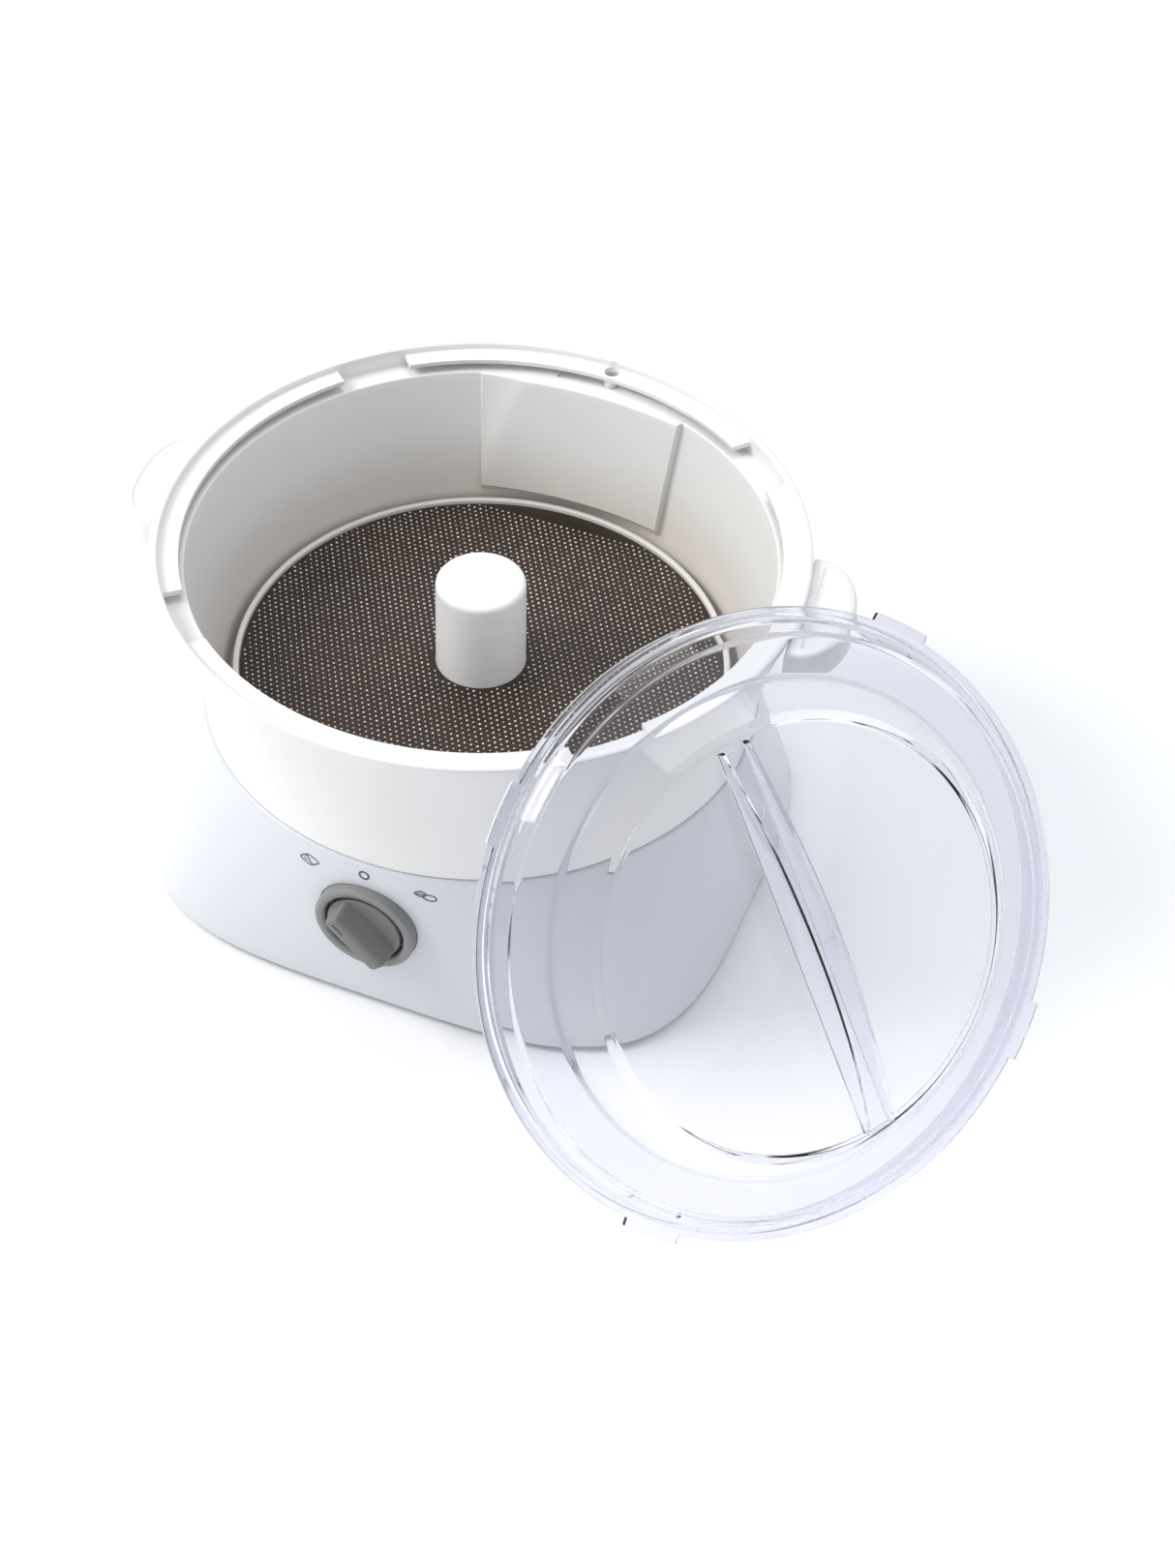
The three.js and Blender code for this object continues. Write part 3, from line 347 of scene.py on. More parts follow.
def rub_group():
    """Handling marks: fine straight scratches along one axis, broken up, and soft stains."""
    tree = bpy.data.node_groups.new("Rub marks", "ShaderNodeTree")
    sockets(tree, "INPUT", "NodeSocketVector", [("Stretch", (60.0, 900.0, 900.0))])
    sockets(tree, "INPUT", "NodeSocketFloat", [("Stain scale", 30.0)])
    sockets(tree, "OUTPUT", "NodeSocketFloat", [("Scratches", None), ("Stains", None)])
    given = node_in(tree, "NodeGroupInput")
    result = node_in(tree, "NodeGroupOutput")
    place = node_in(tree, "ShaderNodeTexCoord")
    stretched = node_in(tree, "ShaderNodeVectorMath", operation="MULTIPLY")
    scratches = node_in(tree, "ShaderNodeTexNoise")
    scratches.inputs["Scale"].default_value = 1.0
    scratches.inputs["Detail"].default_value = 6.0
    stains = node_in(tree, "ShaderNodeTexNoise")
    stains.inputs["Detail"].default_value = 4.0
    tree.links.new(place.outputs["Object"], stretched.inputs[0])
    tree.links.new(given.outputs["Stretch"], stretched.inputs[1])
    tree.links.new(stretched.outputs["Vector"], scratches.inputs["Vector"])
    tree.links.new(place.outputs["Object"], stains.inputs["Vector"])
    tree.links.new(given.outputs["Stain scale"], stains.inputs["Scale"])
    tree.links.new(scratches.outputs["Fac"], result.inputs["Scratches"])
    tree.links.new(stains.outputs["Fac"], result.inputs["Stains"])
    return tree


RUB_MARKS = rub_group()


def metal(name, light, dark, gloss, stretch=(60.0, 900.0, 900.0), metallic=1.0):
    """A bare or plated metal with drawn or turned scratches and faint stains."""
    finish = bpy.data.materials.new(name)
    finish.use_nodes = True
    tree = finish.node_tree
    shader = tree.nodes["Principled BSDF"]
    shader.inputs["Metallic"].default_value = metallic
    marks = node_in(tree, "ShaderNodeGroup", node_tree=RUB_MARKS)
    marks.inputs["Stretch"].default_value = stretch
    tree.links.new(blended(tree, marks.outputs["Stains"], light, dark), shader.inputs["Base Color"])
    tree.links.new(ranged(tree, marks.outputs["Scratches"], *gloss), shader.inputs["Roughness"])
    bumped(tree, shader, marks.outputs["Scratches"], 0.3, 0.00002)
    return finish


def copies_tree(name):
    """Sets a copy of one solid on every point of the mesh: screws, feet and the like."""
    tree = bpy.data.node_groups.new(name, "GeometryNodeTree")
    sockets(tree, "INPUT", "NodeSocketGeometry", [("Places", None)])
    sockets(tree, "INPUT", "NodeSocketObject", [("Copy of", None)])
    sockets(tree, "INPUT", "NodeSocketFloat", [("Turn spread", 0.0)])
    sockets(tree, "INPUT", "NodeSocketInt", [("Seed", 7)])
    sockets(tree, "INPUT", "NodeSocketMaterial", [("Finish", None)])
    sockets(tree, "OUTPUT", "NodeSocketGeometry", [("Copies", None)])
    given = node_in(tree, "NodeGroupInput")
    result = node_in(tree, "NodeGroupOutput")
    copy = node_in(tree, "GeometryNodeObjectInfo", transform_space="ORIGINAL")
    turn = node_in(tree, "FunctionNodeRandomValue", data_type="FLOAT")
    angles = node_in(tree, "ShaderNodeCombineXYZ")
    spread = node_in(tree, "GeometryNodeInstanceOnPoints")
    real = node_in(tree, "GeometryNodeRealizeInstances")
    finish = node_in(tree, "GeometryNodeSetMaterial")
    link = tree.links.new
    link(given.outputs["Places"], spread.inputs["Points"])
    link(given.outputs["Copy of"], copy.inputs["Object"])
    link(copy.outputs["Geometry"], spread.inputs["Instance"])
    link(given.outputs["Turn spread"], turn.inputs[3])
    link(given.outputs["Seed"], turn.inputs["Seed"])
    link(turn.outputs[1], angles.inputs["Z"])
    link(angles.outputs["Vector"], spread.inputs["Rotation"])
    link(spread.outputs["Instances"], real.inputs["Geometry"])
    link(real.outputs["Geometry"], finish.inputs["Geometry"])
    link(given.outputs["Finish"], finish.inputs["Material"])
    link(finish.outputs["Geometry"], result.inputs["Copies"])
    return tree


COPIES = copies_tree("Copies on places")


def fitted(piece, tree, values):
    """Runs a Geometry Nodes tree on the piece and keeps the plain mesh that comes out."""
    step = piece.modifiers.new("fit", "NODES")
    step.node_group = tree
    for item in tree.interface.items_tree:
        if item.item_type == "SOCKET" and item.in_out == "INPUT" and item.name in values:
            step[item.identifier] = values[item.name]
    shaped = piece.evaluated_get(bpy.context.evaluated_depsgraph_get())
    data = bpy.data.meshes.new_from_object(shaped)
    piece.modifiers.remove(step)
    piece.data = data


def copied(name, pattern, places, finish, turn_spread=0.0):
    """One piece made of copies of the pattern, which is used up."""
    data = bpy.data.meshes.new(name)
    data.from_pydata([Vector(place) * MILLIMETRE for place in places], [], [])
    piece = bpy.data.objects.new(name, data)
    bpy.context.scene.collection.objects.link(piece)
    values = {"Copy of": pattern, "Turn spread": turn_spread, "Seed": 7, "Finish": finish}
    fitted(piece, COPIES, values)
    bpy.data.objects.remove(pattern)
    return piece


def four_corners(x, y, z):
    return [(-x, -y, z), (x, -y, z), (x, y, z), (-x, y, z)]


CORNERS = ("front_left", "front_right", "rear_right", "rear_left")
SCREW_X = 76.0
SCREW_Y = 66.0
ZINC = metal("zinc_plate", (0.62, 0.63, 0.66), (0.50, 0.51, 0.55), (0.22, 0.42))
screw_outline = eased([
    (0.0, 0.25, 0.0), (2.6, 0.25, 1.0), (3.4, 0.9, 0.3), (3.4, 1.2, 0.1), (1.6, 1.2, 0.1), (1.6, 16.0, 0.2),
    (0.0, 16.0, 0.0),
], looped=False)
screw = finished("screw_pattern", ringed(lambda angle: screw_outline, even_angles(24)), ZINC)
for turn in (0.0, math.pi / 2):
    slot_cut = bmesh.new()
    slot_place = Matrix.Rotation(turn, 4, "Z") @ Matrix.Diagonal((4.2, 0.7, 1.5, 1.0))
    bmesh.ops.create_cube(slot_cut, size=1.0, matrix=slot_place)
    worked(screw, finished("cutter", slot_cut, ZINC), "DIFFERENCE")
screws = copied("cover_screws", screw, four_corners(SCREW_X, SCREW_Y, 0.0), ZINC, math.pi)
crease_edges(screws, 36.0)
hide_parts(*("cover_screw_" + corner for corner in CORNERS))
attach(screws, "base")

FOOT_X = 96.0
FOOT_Y = 84.0
FOOT_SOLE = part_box("foot_front_left")[0].z / MILLIMETRE
RUBBER = plastic("black_rubber", (0.018, 0.018, 0.019), (0.03, 0.03, 0.031), (0.62, 0.82), 1500.0, 0.00008)
foot_outline = eased([
    (0.0, FOOT_SOLE + 0.5, 0.0), (2.0, FOOT_SOLE + 0.5, 0.1), (2.4, FOOT_SOLE, 0.1), (4.2, FOOT_SOLE, 0.1),
    (4.6, FOOT_SOLE + 0.5, 0.1), (5.4, FOOT_SOLE + 0.5, 0.1), (5.8, FOOT_SOLE, 0.1), (7.9, FOOT_SOLE, 0.5),
    (9.0, FOOT_SOLE + 1.4, 0.6), (9.0, -0.3, 0.2), (4.5, -0.3, 0.1), (4.5, 2.5, 0.4), (0.0, 2.5, 0.0),
], looped=False)
foot = finished("foot_pattern", ringed(lambda angle: foot_outline, even_angles(40)), RUBBER)
feet = copied("rubber_feet", foot, four_corners(FOOT_X, FOOT_Y, 0.0), RUBBER)
crease_edges(feet, 36.0)
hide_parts(*("foot_" + corner for corner in CORNERS))
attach(feet, "base")

# ---- Cord inlet ----
# A black gland with a ribbed collar stands in the back wall, where the cord would come out.
BLACK_PLASTIC = plastic(
    "black_plastic", (0.022, 0.022, 0.024), (0.036, 0.036, 0.038), (0.42, 0.6), 1100.0, 0.00005
)
gland_outline = eased([
    (5.0, -4.0, 0.3), (7.0, -4.0, 0.3), (7.0, 1.6, 0.0), (10.0, 1.6, 0.5), (10.0, 2.6, 0.3), (9.3, 3.0, 0.2),
    (9.3, 3.6, 0.2), (10.0, 4.0, 0.3), (10.0, 5.0, 0.6), (6.4, 5.5, 0.6), (5.0, 4.6, 0.5),
])
gland = finished(
    "cord_gland", ringed(lambda angle: gland_outline, even_angles(56), seat=on_cord), BLACK_PLASTIC
)
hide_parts("cord_inlet")
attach(gland, "base")

# ---- Drive inside the base ----
# The motor hangs from the deck beside the bearing housing, and its small pulley drives the large
# one on the spindle through a belt. All of it keeps its shape from the frame and gets its finish here.
CAST_GREY = metal(
    "cast_grey", (0.14, 0.145, 0.15), (0.09, 0.092, 0.096), (0.45, 0.7), (400.0, 400.0, 400.0), 0.4
)
BRIGHT_STEEL = metal(
    "bright_steel", (0.60, 0.61, 0.63), (0.46, 0.47, 0.49), (0.15, 0.35), (900.0, 900.0, 60.0)
)
CAN_STEEL = metal(
    "rolled_can_steel", (0.52, 0.53, 0.55), (0.40, 0.41, 0.43), (0.25, 0.5), (60.0, 60.0, 900.0)
)
COPPER = metal("enamelled_copper", (0.50, 0.22, 0.09), (0.34, 0.14, 0.05), (0.25, 0.45), (90.0, 900.0, 90.0))
BOARD_GREEN = plastic("board_green", (0.02, 0.13, 0.05), (0.04, 0.20, 0.08), (0.28, 0.5), 400.0, 0.00012)
DRIVE_FINISHES = {
    CAST_GREY: ("bearing_housing", "motor_end_cap", "motor_bracket"),
    BRIGHT_STEEL: (
        "lower_bearing", "upper_bearing", "drive_spindle", "retaining_clip", "motor_screw_1", "motor_screw_2"
    ),
    CAN_STEEL: ("motor_can",),
    COPPER: ("motor_rotor",),
    BLACK_PLASTIC: (
        "driven_pulley", "motor_pulley", "motor_fan", "lid_sensor", "drive_coupling", "selector_switch",
    ),
    RUBBER: ("drive_belt", "shaft_seal"),
    BOARD_GREEN: ("control_board",),
}
for finish, names in DRIVE_FINISHES.items():
    for name in names:
        frame["nodes"][name].data.materials.clear()
        frame["nodes"][name].data.materials.append(finish)

# ---- Drum ----
# The lift-off bowl is a double-walled white moulding. Its lip has a ledge for the lid with four
# bayonet lugs over it, a flatter panel at the back of the well, and two ears to lift it by.
RIM_RADIUS = 130.0
RIM_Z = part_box("drum")[1].z / MILLIMETRE
DRUM_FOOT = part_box("drum")[0].z / MILLIMETRE
LEDGE_Z = RIM_Z - 8.0
LIP_INNER = 125.5
MOUTH_RADIUS = 116.0
WELL_RADIUS = 103.5
DRUM_WALL = 2.6
FLOOR_TOP = DRUM_FOOT + DRUM_WALL
SKIRT_FOOT = NECK_Z + 0.3
SKIRT_FOOT_RADIUS = 113.2
SLEEVE_BORE = 12.0
SLEEVE_TOP = 106.0
LUG_INNER = 117.5
LUG_FOOT = LEDGE_Z + 3.0
LUG_TOP = LUG_FOOT + 2.2
LUG_GAP = math.radians(14.0)
PANEL_FROM = math.radians(90.0 - 23.0)
PANEL_TO = math.radians(90.0 + 23.0)
PANEL_FOOT = FLOOR_TOP + 14.0
PANEL_EDGE = 3.0
PANEL_CROWN = 3.2
FACET_FOOT = 108.0
FACET_WIDTH = math.radians(10.0)
WELL_LEVELS = (146.0, 142.0, 136.0, 128.0, 120.0, 112.0, 104.0, 98.0, PANEL_FOOT + 0.1, PANEL_FOOT - 0.4)
SLOT_FROM = math.radians(83.0)
SLOT_TO = math.radians(97.0)
SHARP_TURN = math.radians(0.25)


def skirt_radius(height):
    share = (height - NECK_Z) / (RIM_Z - NECK_Z)
    return SKIRT_FOOT_RADIUS + (RIM_RADIUS - SKIRT_FOOT_RADIUS) * max(share, 0.0) ** 1.8


def well_radius(height):
    share = (height - FLOOR_TOP) / (LEDGE_Z - FLOOR_TOP)
    return WELL_RADIUS + (MOUTH_RADIUS - WELL_RADIUS) * max(share, 0.0) ** 1.2


def lug_share(angle):
    """1 along a lug and 0 in the entry gaps between two lugs."""
    from_gap = abs(angle % (math.pi / 2) - math.pi / 4)
    return min(max((from_gap - LUG_GAP / 2) / SHARP_TURN, 0.0), 1.0)


def panel_inset(angle, height):
    """How far the back panel stands in from the round wall, with the slanting facet at its left."""
    if not PANEL_FROM < angle < PANEL_TO or height < PANEL_FOOT:
        return 0.0
    middle = (PANEL_FROM + PANEL_TO) / 2
    share = (angle - middle) / (PANEL_TO - middle)
    inset = PANEL_EDGE + PANEL_CROWN * (1.0 - share * share)
    rise = min((height - PANEL_FOOT) / 3.0, 1.0)
    facet = FACET_WIDTH * min(max((height - FACET_FOOT) / (LEDGE_Z - FACET_FOOT), 0.0), 1.0)
    if facet > 0 and PANEL_TO - angle < facet:
        inset *= 0.3 + 0.7 * (PANEL_TO - angle) / facet
    return inset * rise


def spaced(low, high, count):
    return [low + (high - low) * i / (count - 1) for i in range(count)]


def drum_outline(angle):
    lug = LIP_INNER + (LUG_INNER - LIP_INNER) * lug_share(angle)
    slot_depth = 1.0 if SLOT_FROM < angle < SLOT_TO else 0.0
    void_top = LEDGE_Z - DRUM_WALL
    well_top = MOUTH_RADIUS - panel_inset(angle, LEDGE_Z - 0.5)
    outline = [
        (SLEEVE_BORE, DRUM_FOOT, 0.4),
        (WELL_RADIUS + DRUM_WALL, DRUM_FOOT, 1.0),
        *((well_radius(z) + DRUM_WALL, z, 0.0) for z in spaced(DRUM_FOOT + 20.0, void_top, 3)),
        *((skirt_radius(z) - DRUM_WALL, z, 0.0) for z in spaced(void_top, SKIRT_FOOT + 6.0, 4)),
        (SKIRT_FOOT_RADIUS - DRUM_WALL, SKIRT_FOOT, 0.5),
        (SKIRT_FOOT_RADIUS, SKIRT_FOOT, 0.9),
        *((skirt_radius(z), z, 0.0) for z in spaced(SKIRT_FOOT + 4.0, RIM_Z - 6.0, 16)),
        (skirt_radius(RIM_Z) - 0.6, RIM_Z, 1.5),
        (LIP_INNER, RIM_Z, 1.1),
        (LIP_INNER, LUG_TOP, 0.3),
        (lug, LUG_TOP, 0.5),
        (lug, LUG_FOOT, 0.4),
        (LIP_INNER, LUG_FOOT, 0.2),
        (LIP_INNER, LEDGE_Z, 0.6),
        (LIP_INNER - 0.6, LEDGE_Z - slot_depth, 0.0),
        (MOUTH_RADIUS + 1.6, LEDGE_Z - slot_depth, 0.0),
        (MOUTH_RADIUS + 1.2, LEDGE_Z, 0.0),
        (well_top, LEDGE_Z, 0.9),
        *(
            (well_radius(z) - panel_inset(angle, z), z, 0.0)
            for z in WELL_LEVELS
        ),
        (WELL_RADIUS + 0.2, FLOOR_TOP, 3.0),
        (SLEEVE_BORE + DRUM_WALL, FLOOR_TOP, 2.0),
        (SLEEVE_BORE + DRUM_WALL, SLEEVE_TOP, 1.2),
        (SLEEVE_BORE, SLEEVE_TOP, 1.0),
    ]
    return eased(outline)


def turns_with(steps, special):
    """Even angles, with a close pair of extra ones at each special angle so that it stays crisp."""
    angles = even_angles(steps)
    for at in special:
        angles = [a for a in angles if abs(a - at) > 2 * SHARP_TURN]
        angles += [at - SHARP_TURN, at + SHARP_TURN / 20, at + SHARP_TURN * 1.05]
    return sorted(a % (2 * math.pi) for a in angles)


lug_ends = [
    math.pi / 4 + i * math.pi / 2 + side * (LUG_GAP / 2) for i in range(4) for side in (-1, 1)
]
drum_angles = turns_with(240, lug_ends + [PANEL_FROM, PANEL_TO, SLOT_FROM, SLOT_TO])
DRUM_WHITE = plastic("drum_white", (0.78, 0.78, 0.765), (0.74, 0.74, 0.72), (0.26, 0.38), 1400.0, 0.00003)


def add_painted_well_shade(finish, low, high, colour):
    """Paints warm shade low inside the well, strongest at the floor and fading up the wall."""
    tree = finish.node_tree
    shader = tree.nodes["Principled BSDF"]
    before = shader.inputs["Base Color"].links[0].from_socket
    place = node_in(tree, "ShaderNodeTexCoord")
    apart = node_in(tree, "ShaderNodeSeparateXYZ")
    fade = node_in(tree, "ShaderNodeMapRange", interpolation_type="SMOOTHSTEP")
    fade.inputs["From Min"].default_value = low * MILLIMETRE
    fade.inputs["From Max"].default_value = high * MILLIMETRE
    fade.inputs["To Min"].default_value = 0.55
    fade.inputs["To Max"].default_value = 0.0
    tree.links.new(place.outputs["Object"], apart.inputs["Vector"])
    tree.links.new(apart.outputs["Z"], fade.inputs["Value"])
    flat = node_in(tree, "ShaderNodeVectorMath", operation="MULTIPLY")
    flat.inputs[1].default_value = (1.0, 1.0, 0.0)
    out = node_in(tree, "ShaderNodeVectorMath", operation="LENGTH")
    inside = node_in(tree, "ShaderNodeMath", operation="LESS_THAN")
    inside.inputs[1].default_value = (SKIRT_FOOT_RADIUS - 2.0) * MILLIMETRE
    # How much painted warm shade goes on: only inside the well, and more the lower it is.
    painted_shade = node_in(tree, "ShaderNodeMath", operation="MULTIPLY")
    tree.links.new(place.outputs["Object"], flat.inputs[0])
    tree.links.new(flat.outputs["Vector"], out.inputs[0])
    tree.links.new(out.outputs["Value"], inside.inputs[0])
    tree.links.new(inside.outputs["Value"], painted_shade.inputs[0])
    tree.links.new(fade.outputs["Result"], painted_shade.inputs[1])
    tree.links.new(blended(tree, painted_shade.outputs["Value"], before, colour), shader.inputs["Base Color"])


drum = finished("drum_bowl", ringed(drum_outline, drum_angles), DRUM_WHITE)
frame["nodes"]["interlock_rod"].data.materials.clear()
frame["nodes"]["interlock_rod"].data.materials.append(DRUM_WHITE)

EAR_REACH = 18.0
EAR_HALF = 29.0
EAR_TOP = RIM_Z - 3.0
EAR_FOOT = EAR_TOP - 13.0
EAR_TURN = math.radians(5.5)


def ear_rim(inset, steps=40):
    """The ear's plan: a shallow rounded tongue on the drum's wall."""
    foot = RIM_RADIUS - 3.6 + inset
    reach = RIM_RADIUS + EAR_REACH - inset
    half = EAR_HALF - inset
    rim = []
    for i in range(steps + 1):
        angle = math.pi * (i / steps - 0.5)
        rim.append((foot + (reach - foot) * max(math.cos(angle), 0.0) ** 0.8, half * math.sin(angle)))
    return rim


def lofted(layers):
    """A closed solid from plan outlines at rising heights: [(outline, height), ...]."""
    mesh = bmesh.new()
    rows = [[mesh.verts.new((x, y, z)) for x, y in outline] for outline, z in layers]
    for lower, upper in zip(rows, rows[1:]):
        for i in range(len(lower)):
            j = (i + 1) % len(lower)
            mesh.faces.new((lower[i], lower[j], upper[j], upper[i]))
    mesh.faces.new(list(reversed(rows[0])))
    mesh.faces.new(rows[-1])
    return mesh


for side, turn in (("right", EAR_TURN), ("left", math.pi + EAR_TURN)):
    ear_seat = Matrix.Rotation(turn, 4, "Z")
    ear_layers = [
        (ear_rim(0.5), EAR_FOOT), (ear_rim(0.1), EAR_FOOT + 0.5), (ear_rim(0.0), EAR_FOOT + 1.2),
        (ear_rim(0.0), EAR_TOP - 2.2), (ear_rim(0.3), EAR_TOP - 1.1), (ear_rim(0.9), EAR_TOP - 0.4),
        (ear_rim(2.0), EAR_TOP), (ear_rim(5.0), EAR_TOP), (ear_rim(5.6), EAR_TOP - 0.5),
        (ear_rim(6.4), EAR_TOP - 0.7),
    ]
    ear = finished("ear_pattern", lofted(ear_layers), DRUM_WHITE)
    pocket_layers = [
        (ear_rim(DRUM_WALL), EAR_FOOT - 2.0), (ear_rim(DRUM_WALL), EAR_TOP - 4.4),
        (ear_rim(3.6), EAR_TOP - 3.3),
    ]
    worked(ear, finished("cutter", lofted(pocket_layers), DRUM_WHITE), "DIFFERENCE")
    ear.data.transform(ear_seat)
    bore_outline = [
        (0.0, SKIRT_FOOT),
        *((skirt_radius(z) - DRUM_WALL / 2, z) for z in spaced(SKIRT_FOOT, RIM_Z, 16)),
        (0.0, RIM_Z),
    ]
    bore = finished("cutter", ringed(lambda angle: bore_outline, even_angles(160)), DRUM_WHITE)
    worked(ear, bore, "DIFFERENCE")
    worked(drum, ear, "UNION")

# The interlock rod stands in its slot in the ledge, at the slot's right end.
ROD_TURN = math.radians(-4.0)
ROD_TOP_RADIUS = 121.4
ROD_FOOT_RADIUS = 108.6
rod_foot_z = NECK_Z + 4.0
rod_lean = math.atan2(ROD_TOP_RADIUS - ROD_FOOT_RADIUS, LEDGE_Z + 1.0 - rod_foot_z)
on_rod = (
    Matrix.Rotation(ROD_TURN, 4, "Z") @ Matrix.Translation((0, ROD_FOOT_RADIUS, rod_foot_z))
    @ Matrix.Rotation(-rod_lean, 4, "X")
)
worked(drum, plug(3.3, 52.0, 74.0, on_rod, 32), "DIFFERENCE")
# Painted warm shade in the well: up to 0.55 of this brown at 92 mm, fading out by 128 mm.
add_painted_well_shade(DRUM_WHITE, 92.0, 128.0, (0.60, 0.52, 0.44))
drum.data.materials.clear()
drum.data.materials.append(DRUM_WHITE)
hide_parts("drum")
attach(drum, "drum")

# ---- Peeling disc ----
# A white carrier plate with a raised rim holds a dark brown metal sheet, punched all over so that
# every hole has a bright torn burr. The sheet is what scrapes the peel off.
DISC_RADIUS = 101.0
DISC_TOP = 90.0
RIM_WIDTH = 2.5
CARRIER_BORE = 16.2
carrier_outline = eased([
    (CARRIER_BORE, DISC_TOP - 3.0, 0.3), (DISC_RADIUS, DISC_TOP - 3.0, 0.8),
    (DISC_RADIUS, DISC_TOP + 3.0, 1.0),
    (DISC_RADIUS - RIM_WIDTH, DISC_TOP + 3.0, 0.9), (DISC_RADIUS - RIM_WIDTH, DISC_TOP, 0.3),
    (CARRIER_BORE, DISC_TOP, 0.3),
])
CARRIER_WHITE = plastic("carrier_white", (0.70, 0.68, 0.64), (0.62, 0.60, 0.56), (0.32, 0.48), 800.0, 0.00005)
carrier = finished("disc_plate", ringed(lambda angle: carrier_outline, even_angles(144)), CARRIER_WHITE)
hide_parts("disc_carrier")
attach(carrier, "disc")

SHEET_FOOT = DISC_TOP + 0.3
SHEET_TOP = SHEET_FOOT + 1.0
SHEET_OUTER = DISC_RADIUS - RIM_WIDTH - 0.3
SHEET_INNER = 18.7
BURR_PITCH = 2.7
BURR_RADIUS = 0.85


def abrasive_finish():
    """Dark brown lacquered sheet; the torn tips of the burrs are bare and bright."""
    finish = bpy.data.materials.new("punched_sheet")
    finish.use_nodes = True
    tree = finish.node_tree
    shader = tree.nodes["Principled BSDF"]
    marks = node_in(tree, "ShaderNodeGroup", node_tree=RUB_MARKS)
    marks.inputs["Stretch"].default_value = (500.0, 500.0, 500.0)
    place = node_in(tree, "ShaderNodeTexCoord")
    apart = node_in(tree, "ShaderNodeSeparateXYZ")
    tip = node_in(tree, "ShaderNodeMapRange")
    tip.inputs["From Min"].default_value = (SHEET_TOP + 0.22) * MILLIMETRE
    tip.inputs["From Max"].default_value = (SHEET_TOP + 0.40) * MILLIMETRE
    tree.links.new(place.outputs["Object"], apart.inputs["Vector"])
    tree.links.new(apart.outputs["Z"], tip.inputs["Value"])
    lacquer = blended(tree, marks.outputs["Stains"], (0.020, 0.012, 0.008), (0.048, 0.029, 0.019))
    coloured = blended(tree, tip.outputs["Result"], lacquer, (0.93, 0.88, 0.80))
    tree.links.new(coloured, shader.inputs["Base Color"])
    tree.links.new(ranged(tree, marks.outputs["Scratches"], 0.28, 0.55), shader.inputs["Roughness"])
    tree.links.new(ranged(tree, tip.outputs["Result"], 0.35, 0.15), shader.inputs["Metallic"])
    bumped(tree, shader, marks.outputs["Scratches"], 0.4, 0.00006)
    return finish


